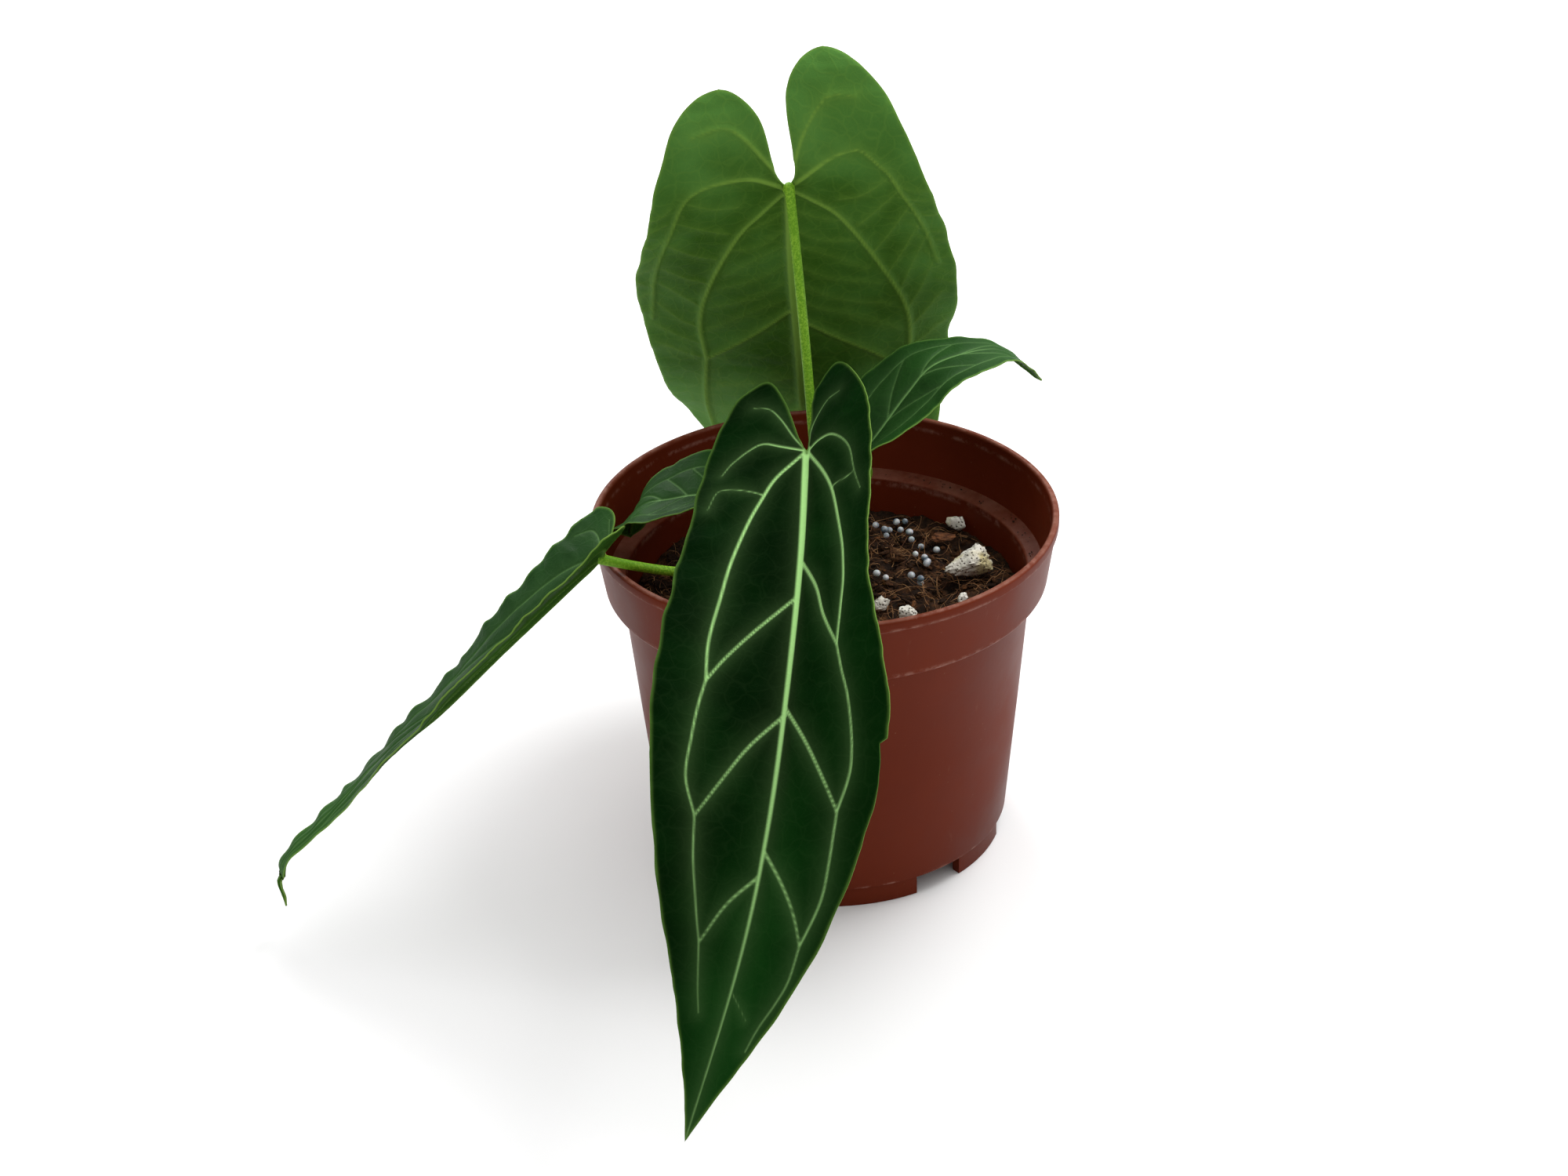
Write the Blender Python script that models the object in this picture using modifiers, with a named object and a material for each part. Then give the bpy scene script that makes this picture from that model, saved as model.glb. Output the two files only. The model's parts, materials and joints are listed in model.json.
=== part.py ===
"""Potted velvet-leaf anthurium, as a Blender model.

A young plant with five leaves stands in a 12 cm nursery pot of brown plastic. The
lengths below are in millimetres and are turned into metres with MM. Positions are
measured from the pot's own axis, at the floor; the empty pot_axis places that axis.
"""

import math

import bmesh
import bpy
import numpy as np
from mathutils import Matrix, Vector, noise

MM = 0.001
GAP = 0.3                      # clearance between neighbouring pieces
REST_GAP = 0.55                # clearance below the loose pieces on the mix

# ---- where the pot's axis stands, so that the whole plant's box is centred on the origin
POT_AXIS = (40.7, 35.5, 0.0)

# ---- nursery pot
RIM_RADIUS = 60.0
POT_HEIGHT = 91.1
WALL = 1.2
LIP_HEIGHT = 2.8
BAND_TOP_RADIUS = 59.3
BAND_FOOT_RADIUS = 57.0
BAND_FOOT_Z = 73.0
BODY_TOP_RADIUS = 52.9
BODY_FOOT_RADIUS = 46.2
BODY_FOOT_Z = 5.7
FLOOR_TOP_Z = 5.1
FLOOR_UNDER_Z = 3.6
FOOT_RADIUS = 45.2
FOOT_THICKNESS = 2.6
FOOT_COUNT = 8
FOOT_GAP_ANGLE = 18.0          # degrees of open ring between two feet
FOOT_GAP_HEIGHT = 3.3
FIRST_GAP_AT = -53.0           # degrees, the middle of the first gap
DRAIN_HOLE_RADIUS = 4.0
DRAIN_HOLE_RING = 33.0
POT_STEPS = 48

# ---- potting mix
MIX_TOP_Z = 66.3
MIX_BUMP = 1.1
MIX_BUMP_SIZE = 11.0
MIX_RINGS = (0.0, 9.0, 18.0, 27.0, 36.0, 44.0)
MIX_STEPS = 32

# ---- the plant's short stem
STEM_RADIUS = 4.6
STEM_TOP_Z = 72.0
STEM_FOOT_Z = 50.0
STALK_RING = 3.2               # leaf stalks start on this ring on the stem's top
STALK_RADIUS = 1.3
KNEE_SWELLING = 1.2            # the joint below each blade is this much thicker
STALK_STAND_OFF = 1.2          # from a blade's underside to its stalk's end

# ---- leaf blades
BLADE_THICKNESS = 1.0
BLADE_STEPS_LONG = 16
BLADE_STEPS_WIDE = 3
PER_SPAN = 40                  # points worked out between two points of an outline

# Each blade is drawn flat, in millimetres, with u along the midrib from the stalk to the
# tip and v across it, and is then laid along its midrib in space. Half-widths go with
# fractions of the midrib's length. Lobe points lie behind the stalk: shoulder, crown,
# inner flank and throat. Angles are degrees, evenly spaced from the stalk to the tip:
# roll turns the blade about its midrib and fold raises each half from it; curl bends
# the lobes, in degrees for each 10 mm of length.
STATIONS = (0.93, 0.78, 0.6, 0.42, 0.25, 0.1, 0.0)
LEAVES = {
    "front": {
        "midrib": [(-4, -36, 127), (-6, -66, 113), (-10, -98, 95), (-15, -124, 75),
                   (-22, -142, 52), (-36, -152, 9)],
        "roll": (-24, -13, 13, 34),
        "fold": ((12, 23, 11, 8), (25, 28, 5, -9)),
        "curl": 0,
        "half_widths": ((4, 15, 26, 31, 30, 27, 25), (4, 13, 22, 30, 26, 25, 24)),
        "lobes": (((17, 19), (23, 11), (16, 6), (4, 2)), ((12, 19), (21, 11), (17, 3), (7, 1))),
        "stalk_at": -90, "stalk": [(-1, -8, 94), (-2, -20, 114)],
    },
    "back": {
        "midrib": [(-7, 24, 171), (-7, 38, 145), (-6, 51, 117), (-5, 63, 88), (-3, 70, 58),
                   (-2, 76, 24)],
        "roll": (8, 4, -6),
        "fold": ((-13, 7, 3), (-3, 10, 4)),
        "curl": 18,
        "half_widths": ((9, 24, 37, 41, 43, 39, 36), (9, 24, 36, 40, 41, 37, 35)),
        "lobes": (((28, 26), (39, 13), (28, 2), (6, 2)), ((23, 27), (30, 15), (22, 6), (6, 3))),
        "stalk_at": 92, "stalk": [(-2, 5, 104), (-4, 11, 138)],
    },
    "right": {
        "midrib": [(8, 9, 100), (14, 12, 107), (22, 17, 116), (29, 21, 122), (41, 27, 123),
                   (49, 31, 120), (58, 35, 110)],
        "roll": (10, -2, 1),
        "fold": ((30, -1, 2), (28, -2, 3)),
        "curl": 0,
        "half_widths": ((3, 7, 11, 14, 16, 17, 17), (2, 5, 10, 14, 16, 17, 17)),
        "lobes": (((6, 13), (9, 8), (7, 4), (3, 1.5)), ((6, 13), (9, 8), (7, 4), (3, 1.5))),
        "stalk_at": 20, "stalk": [(4.5, 3, 80), (7, 6, 90)],
    },
    "inner": {
        "midrib": [(-19, 3, 94), (-26, 4, 95), (-34, 6, 94), (-40, 8, 92), (-46, 10, 90),
                   (-50, 11, 86), (-51, 12, 79)],
        "roll": (-10, 10, -10),
        "fold": ((18, 10, -5), (18, 12, -5)),
        "curl": 0,
        "half_widths": ((4, 9, 13, 15, 16, 16, 16), (5, 10, 14, 15, 16, 16, 16)),
        "lobes": (((5, 12), (7, 8), (6, 4), (3, 1.5)), ((5, 12), (7, 8), (6, 4), (3, 1.5))),
        "stalk_at": 164, "stalk": [(-8, 1, 79), (-15, 1.5, 87)],
    },
    "left": {
        "midrib": [(-56, -32, 98), (-67, -36, 89), (-82, -40, 76), (-98, -43, 61),
                   (-110, -46, 52), (-125, -48, 37), (-132, -49, 30), (-140, -50, 21),
                   (-140, -50, 8)],
        "roll": (-13, -11, -15, 1, 19),
        "fold": ((17, 12, 3, -13, -13), (24, 19, 9, -13, -21)),
        "curl": 0,
        "half_widths": ((2, 6, 10, 14, 15, 15, 16), (2, 5, 9, 14, 17, 17, 17)),
        "lobes": (((6, 15), (9, 10), (8, 5), (4, 2)), ((6, 16), (10, 9), (8, 5), (4, 2))),
        "stalk_at": 222,
        "stalk": [(-5, -4, 77), (-20, -13, 81), (-38, -24, 88), (-49, -29.5, 94.3)],
    },
}

# ---- loose pieces on the mix: (x, y, length, width, height, turn in degrees)
PUMICE = {
    "pumice_large": (37.5, 7.5, 14.0, 9.0, 9.0, 35),
    "pumice_back": (35.0, 33.5, 4.6, 4.0, 3.6, 10),
    "pumice_front_a": (13.5, -9.0, 5.6, 5.0, 4.4, 60),
    "pumice_front_b": (20.5, -14.0, 4.6, 4.0, 3.6, 20),
    "pumice_side": (35.0, -6.5, 3.0, 2.6, 2.4, 80),
    "pumice_left": (-24.0, -24.0, 5.0, 4.2, 3.8, 45),
    "pumice_left_back": (-22.0, 31.0, 4.4, 4.0, 3.4, 15),
}
BARK = {
    "bark_chip_1": (31.5, 27.5, 6.0, 3.6, 1.8, 20),
    "bark_chip_2": (30.0, -17.0, 8.0, 4.0, 2.0, 65),
    "bark_chip_3": (-12.0, -31.0, 7.5, 4.2, 2.0, 110),
    "bark_chip_4": (-33.0, 5.0, 8.0, 3.8, 1.8, 150),
    "bark_chip_5": (-6.0, 38.0, 6.5, 4.0, 1.8, 40),
}
SHEATH_HEIGHT = 15.0
SHEATH_SPREAD = 24.0           # degrees to each side at the foot
SHEATH_THICKNESS = 0.6
SHEATHS_AT = (131, -42)        # degrees round the stem
AIR_ROOTS_AT = (-108, 55, 190)
AIR_ROOT_Z = 70.2
AIR_ROOT_RADII = (0.95, 0.6)

PRILL_RADIUS = 1.2
PRILL_SPACING = 3.3
PRILL_CLUSTERS = ((15.9, 33.5, 4), (22.5, 30.5, 3), (26.0, 17.0, 4), (24.5, 4.5, 2),
                  (15.5, 7.0, 2), (-28.0, -16.0, 1))


# ======================================================================= materials

def material(name, colour, roughness, metallic=0.0):
    """A Principled material, made once for each name."""
    made = bpy.data.materials.get(name)
    if made:
        return made
    made = bpy.data.materials.new(name)
    made.use_nodes = True
    shader = made.node_tree.nodes["Principled BSDF"]
    shader.inputs["Base Color"].default_value = (*colour, 1.0)
    shader.inputs["Roughness"].default_value = roughness
    shader.inputs["Metallic"].default_value = metallic
    made.diffuse_color = (*colour, 1.0)
    return made


# ========================================================================= helpers

def finish(obj, collection, parent, mat, smooth_angle=None):
    """Move a new object to its collection, parent it, and give it its material."""
    for owner in list(obj.users_collection):
        owner.objects.unlink(obj)
    collection.objects.link(obj)
    obj.parent = parent
    obj.data.materials.clear()
    obj.data.materials.append(mat)
    if smooth_angle is not None:
        obj.data.shade_smooth()
        obj.data.set_sharp_from_angle(angle=math.radians(smooth_angle))
    return obj


def object_from(bm, name):
    """Write a bmesh to a new mesh object."""
    mesh = bpy.data.meshes.new(name)
    bm.to_mesh(mesh)
    bm.free()
    return bpy.data.objects.new(name, mesh)


def turned(name, profile, steps):
    """A solid turned about Z from (radius, z) points that run from axis to axis."""
    mesh = bpy.data.meshes.new(name)
    points = [(radius * MM, 0.0, z * MM) for radius, z in profile]
    mesh.from_pydata(points, [(i, i + 1) for i in range(len(points) - 1)], [])
    obj = bpy.data.objects.new(name, mesh)
    screw = obj.modifiers.new("turn", "SCREW")
    screw.steps = steps
    screw.render_steps = steps
    screw.use_merge_vertices = True
    screw.merge_threshold = 0.00001
    return obj


def tube(name, points, radii, sides=2):
    """A round bar along points, with a radius at each of them, closed at both ends."""
    curve = bpy.data.curves.new(name, "CURVE")
    curve.dimensions = "3D"
    curve.bevel_depth = MM
    curve.bevel_resolution = sides
    curve.use_fill_caps = True
    spline = curve.splines.new("POLY")
    spline.points.add(len(points) - 1)
    for place, point, radius in zip(spline.points, points, radii):
        place.co = (*(Vector(point) * MM), 1.0)
        place.radius = radius
    return bpy.data.objects.new(name, curve)


def cut(obj, cutter, cutters, parent):
    """Take the cutter's shape out of the object with a Boolean."""
    for owner in list(cutter.users_collection):
        owner.objects.unlink(cutter)
    cutters.objects.link(cutter)
    cutter.parent = parent
    cutter.hide_render = True
    cutter.display_type = "WIRE"
    boolean = obj.modifiers.new(cutter.name, "BOOLEAN")
    boolean.operation = "DIFFERENCE"
    boolean.solver = "EXACT"
    boolean.object = cutter


def through(points, steps):
    """Points on a smooth curve through the given ones (Catmull-Rom), ends included."""
    known = np.array(points, float)
    known = np.vstack([2 * known[0] - known[1], known, 2 * known[-1] - known[-2]])
    spans = len(points) - 1
    found = []
    for place in np.linspace(0.0, spans, steps):
        i = min(int(place), spans - 1)
        f = place - i
        a, b, c, d = known[i:i + 4]
        found.append(0.5 * (2 * b + (c - a) * f + (2 * a - 5 * b + 4 * c - d) * f ** 2
                            + (3 * b - a - 3 * c + d) * f ** 3))
    return np.array(found)


def at_fraction(values, fraction):
    """Smoothly interpolate evenly spaced values at a fraction from 0 to 1."""
    table = through([(float(v),) for v in values], 16 * (len(values) - 1) + 1)[:, 0]
    return float(np.interp(fraction, np.linspace(0.0, 1.0, len(table)), table))


# ============================================================================= pot

def make_pot(collection, cutters, axis):
    """The thin-walled pot: rolled lip, deep rim band, step, tapered body and feet."""
    wall_foot = BODY_FOOT_RADIUS - WALL
    ledge_inner = BODY_TOP_RADIUS - WALL
    ledge_outer = BAND_FOOT_RADIUS - WALL + 0.2
    lip_z = POT_HEIGHT - LIP_HEIGHT
    profile = [
        (0.0, FLOOR_TOP_Z), (wall_foot - 1.0, FLOOR_TOP_Z), (wall_foot, FLOOR_TOP_Z + 1.0),
        (ledge_inner, BAND_FOOT_Z + 1.4), (ledge_inner + 0.4, BAND_FOOT_Z + 1.8),
        (ledge_outer, BAND_FOOT_Z + 2.6),
        (RIM_RADIUS - 1.9, POT_HEIGHT - 0.5), (RIM_RADIUS - 1.4, POT_HEIGHT),
        (RIM_RADIUS - 0.4, POT_HEIGHT), (RIM_RADIUS, POT_HEIGHT - 0.5),
        (RIM_RADIUS - 0.1, lip_z), (BAND_TOP_RADIUS, lip_z - 0.3),
        (BAND_FOOT_RADIUS, BAND_FOOT_Z + 0.5), (BAND_FOOT_RADIUS - 0.5, BAND_FOOT_Z),
        (BODY_TOP_RADIUS, BAND_FOOT_Z), (BODY_FOOT_RADIUS, BODY_FOOT_Z),
        (FOOT_RADIUS, BODY_FOOT_Z), (FOOT_RADIUS, 0.0), (FOOT_RADIUS - FOOT_THICKNESS, 0.0),
        (FOOT_RADIUS - FOOT_THICKNESS, FLOOR_UNDER_Z), (0.0, FLOOR_UNDER_Z),
    ]
    pot = turned("nursery_pot", profile, POT_STEPS)
    finish(pot, collection, axis, material("brown_plastic", (0.155, 0.042, 0.024), 0.42), 35)
    gap_width = 2 * FOOT_RADIUS * math.sin(math.radians(FOOT_GAP_ANGLE / 2))
    cutter_mesh = bmesh.new()
    hole_mesh = bmesh.new()
    for i in range(FOOT_COUNT):
        angle = math.radians(FIRST_GAP_AT + i * 360.0 / FOOT_COUNT)
        turn = Matrix.Rotation(angle, 4, "Z")
        place = turn @ Matrix.Translation((FOOT_RADIUS * MM, 0.0, (FOOT_GAP_HEIGHT - 2.0) / 2 * MM))
        size = Matrix.Diagonal((8 * MM, gap_width * MM, (FOOT_GAP_HEIGHT + 2.0) * MM, 1.0))
        bmesh.ops.create_cube(cutter_mesh, size=1.0, matrix=place @ size)
        hole = turn @ Matrix.Translation((DRAIN_HOLE_RING * MM, 0.0, FLOOR_UNDER_Z * MM))
        bmesh.ops.create_cone(hole_mesh, cap_ends=True, segments=12, depth=8 * MM, matrix=hole,
                              radius1=DRAIN_HOLE_RADIUS * MM, radius2=DRAIN_HOLE_RADIUS * MM)
    cut(pot, object_from(cutter_mesh, "foot_gaps"), cutters, axis)
    cut(pot, object_from(hole_mesh, "drain_holes"), cutters, axis)


# ====================================================================== potting mix

def mix_height(x, y):
    """Height of the mix's uneven surface, calm around the stem."""
    spot = Vector((x, y, 0.0)) / MIX_BUMP_SIZE
    calm = min(1.0, math.hypot(x, y) / 20.0)
    return MIX_TOP_Z + MIX_BUMP * calm * noise.noise(spot)


def make_mix(collection, cutters, axis):
    """The coir and bark mix that fills the pot to just under its inner step."""
    slope = (BODY_TOP_RADIUS - BODY_FOOT_RADIUS) / (BAND_FOOT_Z - BODY_FOOT_Z)
    foot_z = FLOOR_TOP_Z + 1.6
    foot_radius = BODY_FOOT_RADIUS - WALL + slope * (foot_z - BODY_FOOT_Z) - 3 * GAP
    top_radius = foot_radius + slope * (MIX_TOP_Z - foot_z)
    profile = [(0.0, MIX_TOP_Z)]
    profile += [(ring, MIX_TOP_Z) for ring in MIX_RINGS[1:]]
    profile += [(top_radius, MIX_TOP_Z), (foot_radius, foot_z), (0.0, foot_z)]
    blank = turned("mix_blank", profile, MIX_STEPS)
    collection.objects.link(blank)
    bpy.context.view_layer.update()
    ready = blank.evaluated_get(bpy.context.evaluated_depsgraph_get())
    bm = bmesh.new()
    bm.from_mesh(ready.to_mesh())
    bpy.data.objects.remove(blank)
    if bm.calc_volume(signed=True) < 0:
        bmesh.ops.reverse_faces(bm, faces=bm.faces)
    for vert in bm.verts:
        if vert.co.z > (MIX_TOP_Z - 1.0) * MM:
            vert.co.z = mix_height(vert.co.x / MM, vert.co.y / MM) * MM
    mix = object_from(bm, "potting_mix")
    finish(mix, collection, axis, material("potting_mix", (0.045, 0.022, 0.012), 0.95))
    pocket = bmesh.new()
    depth = 30.0
    bmesh.ops.create_cone(pocket, cap_ends=True, segments=24, depth=depth * MM,
                          radius1=(STEM_RADIUS + GAP) * MM, radius2=(STEM_RADIUS + GAP) * MM,
                          matrix=Matrix.Translation((0, 0, (STEM_FOOT_Z - GAP + depth / 2) * MM)))
    cut(mix, object_from(pocket, "stem_pocket"), cutters, axis)


def rest_on_mix(obj):
    """Lift or lower a loose piece so that its lowest part just clears the mix."""
    lowest = min(v.co.z / MM - mix_height(v.co.x / MM, v.co.y / MM) for v in obj.data.vertices)
    obj.data.transform(Matrix.Translation((0, 0, (REST_GAP - lowest) * MM)))


def make_stones(collection, axis):
    """Pumice lumps: squashed spheres with a broken surface."""
    grey = material("pumice", (0.55, 0.53, 0.44), 0.95)
    for number, (name, spec) in enumerate(PUMICE.items()):
        x, y, length, width, height, turn = spec
        bm = bmesh.new()
        bmesh.ops.create_icosphere(bm, subdivisions=2, radius=0.5)
        for vert in bm.verts:
            rough = noise.noise(vert.co * 3.0 + Vector((number * 7.0, 0, 0)))
            vert.co *= 1.0 + 0.35 * rough
        place = Matrix.Translation((x * MM, y * MM, MIX_TOP_Z * MM))
        turn_matrix = Matrix.Rotation(math.radians(turn), 4, "Z")
        size = Matrix.Diagonal((length * MM, width * MM, height * MM, 1.0))
        bmesh.ops.transform(bm, matrix=place @ turn_matrix @ size, verts=bm.verts)
        stone = finish(object_from(bm, name), collection, axis, grey, 40)
        rest_on_mix(stone)


def make_bark(collection, axis):
    """Bark chips: thin blocks with rounded edges, lying on the mix."""
    brown = material("bark", (0.16, 0.06, 0.025), 0.9)
    for number, (name, spec) in enumerate(BARK.items()):
        x, y, length, width, height, turn = spec
        bm = bmesh.new()
        bmesh.ops.create_cube(bm, size=1.0)
        bmesh.ops.bevel(bm, geom=list(bm.edges), offset=0.12, segments=1, affect="EDGES",
                        profile=0.5, material=-1)
        for vert in bm.verts:
            vert.co.y *= 1.0 - 0.3 * vert.co.x * (-1) ** number
        place = Matrix.Translation((x * MM, y * MM, MIX_TOP_Z * MM))
        turn_matrix = Matrix.Rotation(math.radians(turn), 4, "Z")
        size = Matrix.Diagonal((length * MM, width * MM, height * MM, 1.0))
        bmesh.ops.transform(bm, matrix=place @ turn_matrix @ size, verts=bm.verts)
        chip = finish(object_from(bm, name), collection, axis, brown)
        rest_on_mix(chip)


def make_prills(collection, axis):
    """Slow-release fertiliser beads, in small groups wound outwards from their middles."""
    white = material("fertiliser", (0.42, 0.47, 0.50), 0.5)
    golden_angle = math.radians(137.5)
    number = 0
    for x, y, count in PRILL_CLUSTERS:
        for i in range(count):
            number += 1
            reach = PRILL_SPACING * math.sqrt(i) * 0.95
            bm = bmesh.new()
            place = Vector((x + reach * math.cos(i * golden_angle),
                            y + reach * math.sin(i * golden_angle), MIX_TOP_Z))
            bmesh.ops.create_icosphere(bm, subdivisions=1, radius=PRILL_RADIUS * MM,
                                       matrix=Matrix.Translation(place * MM))
            prill = finish(object_from(bm, f"fertiliser_prill_{number:02d}"), collection,
                           axis, white, 60)
            rest_on_mix(prill)


# =========================================================================== plant

class Blade:
    """One leaf blade: a flat outline laid along a midrib in space."""

    def __init__(self, spec):
        self.spec = spec
        self.line = through(spec["midrib"], 161)
        steps = np.linalg.norm(np.diff(self.line, axis=0), axis=1)
        self.along = np.concatenate([[0.0], np.cumsum(steps)])
        self.length = self.along[-1]
        slopes = np.gradient(self.line, self.along, axis=0)
        self.slopes = slopes / np.linalg.norm(slopes, axis=1)[:, None]

    def frame(self, u):
        """Point, direction, side and upper normal of the midrib at distance u."""
        u = min(max(u, 0.0), self.length)
        point = Vector([np.interp(u, self.along, self.line[:, k]) for k in range(3)])
        ahead = Vector([np.interp(u, self.along, self.slopes[:, k]) for k in range(3)])
        ahead.normalize()
        level = ahead.cross(Vector((0, 0, 1))).normalized()
        up = level.cross(ahead)
        roll = math.radians(at_fraction(self.spec["roll"], u / self.length))
        side = level * math.cos(roll) + up * math.sin(roll)
        return point, ahead, side, side.cross(ahead)

    def place(self, u, v):
        """The point in space of the flat outline's point (u, v)."""
        point, ahead, side, up = self.frame(u)
        back = max(-u, 0.0)
        bend = math.radians(self.spec["curl"]) / 10.0 or 1e-6
        point = point - ahead * math.sin(bend * back) / bend
        point = point + up * (1.0 - math.cos(bend * back)) / bend
        angles = self.spec["fold"][0 if v >= 0 else 1]
        fold = math.radians(at_fraction(angles, max(u, 0.0) / self.length))
        return point + side * v * math.cos(fold) + up * abs(v) * math.sin(fold)

    def edges(self, half, steps):
        """The flat inner and outer edges of one half, from the tip to the lobe's crown."""
        widths = self.spec["half_widths"][half]
        lobe = self.spec["lobes"][half]
        outline = [(self.length, 0.0)]
        outline += [(f * self.length, w) for f, w in zip(STATIONS, widths)]
        outline += [(-u, v) for u, v in lobe] + [(0.0, 0.0)]
        smooth = through(outline, PER_SPAN * (len(outline) - 1) + 1)
        crown = PER_SPAN * (len(STATIONS) + 2)
        outer = smooth[np.round(np.linspace(0, crown, steps)).astype(int)]
        flank = smooth[:crown - 1:-1]
        lobe_steps = steps // 4
        rib = [(u, 0.0) for u in np.linspace(self.length, 0.0, steps - lobe_steps)]
        picks = np.round(np.linspace(0, len(flank) - 1, lobe_steps + 1)[1:]).astype(int)
        return np.vstack([rib, flank[picks]]), outer


def make_blade(name, spec, collection, axis, green):
    """A thin closed blade: two grids that meet along the midrib, thickened evenly."""
    blade = Blade(spec)
    bm = bmesh.new()
    long_points = BLADE_STEPS_LONG + 1
    for half, sign in ((0, 1.0), (1, -1.0)):
        inner, outer = blade.edges(half, long_points)
        grid = bmesh.ops.create_grid(bm, x_segments=BLADE_STEPS_LONG,
                                     y_segments=BLADE_STEPS_WIDE, size=0.5)
        for vert in grid["verts"]:
            row = int(round((vert.co.x + 0.5) * BLADE_STEPS_LONG))
            across = vert.co.y + 0.5
            flat = inner[row] * (1.0 - across) + outer[row] * across
            vert.co = blade.place(flat[0], sign * max(flat[1], 1e-6)) * MM
        if sign > 0:
            bmesh.ops.reverse_faces(bm, faces=list(bm.faces))
    bmesh.ops.remove_doubles(bm, verts=bm.verts, dist=0.02 * MM)
    bmesh.ops.dissolve_degenerate(bm, edges=bm.edges, dist=0.02 * MM)
    obj = finish(object_from(bm, name), collection, axis, green, 50)
    skin = obj.modifiers.new("thickness", "SOLIDIFY")
    skin.thickness = BLADE_THICKNESS * MM
    skin.offset = 0.0
    return blade


def make_stalk(name, spec, blade, collection, axis, green):
    """A leaf stalk from the stem's top to the blade, with its thicker joint."""
    turn = math.radians(spec["stalk_at"])
    foot = (STALK_RING * math.cos(turn), STALK_RING * math.sin(turn), STEM_TOP_Z + 2 * GAP)
    point, _, _, up = blade.frame(0.0)
    top = point - up * (BLADE_THICKNESS / 2 + STALK_STAND_OFF)
    knee = top - up * 3.0
    route = [foot] + list(spec["stalk"]) + [tuple(knee), tuple(top)]
    points = through(route, 26)
    places = (0, 2, 5, 19, 23, 25)
    swelling = np.interp(np.arange(26), places, (1.05, 1.1, 1.0, 1.0, KNEE_SWELLING, 1.0))
    stalk = tube(name, points, STALK_RADIUS * swelling)
    finish(stalk, collection, axis, green)


def make_stem(collection, axis):
    """The short upright stem, standing in the mix."""
    profile = [(0.0, STEM_TOP_Z), (STEM_RADIUS - 0.8, STEM_TOP_Z), (STEM_RADIUS, STEM_TOP_Z - 1.2),
               (STEM_RADIUS, STEM_FOOT_Z + 2), (STEM_RADIUS - 2, STEM_FOOT_Z), (0.0, STEM_FOOT_Z)]
    stem = turned("stem", profile, 20)
    finish(stem, collection, axis, material("stem", (0.12, 0.15, 0.05), 0.7), 40)


def make_sheath(name, turn, collection, axis):
    """A dry papery sheath left at the stem by an older leaf, leaning outwards."""
    bm = bmesh.new()
    grid = bmesh.ops.create_grid(bm, x_segments=6, y_segments=5, size=0.5)
    foot_radius = STEM_RADIUS + 1.4
    for vert in grid["verts"]:
        across = vert.co.x * 2.0
        rise = vert.co.y + 0.5
        angle = math.radians(turn + across * SHEATH_SPREAD * (1.0 - 0.85 * rise ** 2))
        radius = foot_radius + 3.0 * rise + 2.0 * rise ** 2
        z = MIX_TOP_Z + 1.6 + SHEATH_HEIGHT * rise
        vert.co = Vector((radius * math.cos(angle), radius * math.sin(angle), z)) * MM
    sheath = finish(object_from(bm, name), collection, axis,
                    material("dry_sheath", (0.30, 0.20, 0.09), 0.85), 60)
    skin = sheath.modifiers.new("thickness", "SOLIDIFY")
    skin.thickness = SHEATH_THICKNESS * MM
    skin.offset = 0.0


def make_air_root(name, turn, collection, axis):
    """A short thick root from the stem's side, coming down to the mix."""
    ahead = Vector((math.cos(math.radians(turn)), math.sin(math.radians(turn)), 0.0))
    start = ahead * (STEM_RADIUS + 1.3) + Vector((0, 0, AIR_ROOT_Z))
    route = [start, start + ahead * 2.2 + Vector((0, 0, -0.3)),
             start + ahead * 4.6 + Vector((0, 0, -1.2)), start + ahead * 7.0 + Vector((0, 0, -2.0))]
    points = through(route, 9)
    root = tube(name, points, np.linspace(*AIR_ROOT_RADII, 9))
    finish(root, collection, axis, material("air_root", (0.33, 0.30, 0.19), 0.8))


# ============================================================================ build

def main():
    for old in list(bpy.data.objects):
        bpy.data.objects.remove(old)
    scene = bpy.context.scene.collection
    collection = bpy.data.collections.new("potted_anthurium")
    cutters = bpy.data.collections.new("cutters")
    scene.children.link(collection)
    scene.children.link(cutters)
    axis = bpy.data.objects.new("pot_axis", None)
    axis.location = Vector(POT_AXIS) * MM
    scene.objects.link(axis)

    make_pot(collection, cutters, axis)
    make_mix(collection, cutters, axis)
    make_stones(collection, axis)
    make_bark(collection, axis)
    make_prills(collection, axis)
    make_stem(collection, axis)
    for number, turn in enumerate(SHEATHS_AT, start=1):
        make_sheath(f"sheath_{number}", turn, collection, axis)
    for number, turn in enumerate(AIR_ROOTS_AT, start=1):
        make_air_root(f"air_root_{number}", turn, collection, axis)

    velvet = material("velvet_leaf", (0.018, 0.075, 0.018), 0.6)
    satin = material("satin_leaf", (0.03, 0.11, 0.05), 0.5)
    stalk_green = material("leaf_stalk", (0.12, 0.28, 0.04), 0.5)
    greens = {"front": velvet, "back": velvet, "right": satin, "inner": satin, "left": satin}
    for name, spec in LEAVES.items():
        blade = make_blade(f"leaf_blade_{name}", spec, collection, axis, greens[name])
        make_stalk(f"leaf_stalk_{name}", spec, blade, collection, axis, stalk_green)


main()
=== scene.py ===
"""The finished looks of the potted velvet-leaf anthurium, laid out as an add-on.

Lengths are in millimetres from the pot's own axis at the floor and are turned into the
shared frame, in metres, by in_frame and to_frame.
"""

import json
import math
import random

import bmesh
import bpy
import numpy as np
from mathutils import Matrix, Vector, noise

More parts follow.
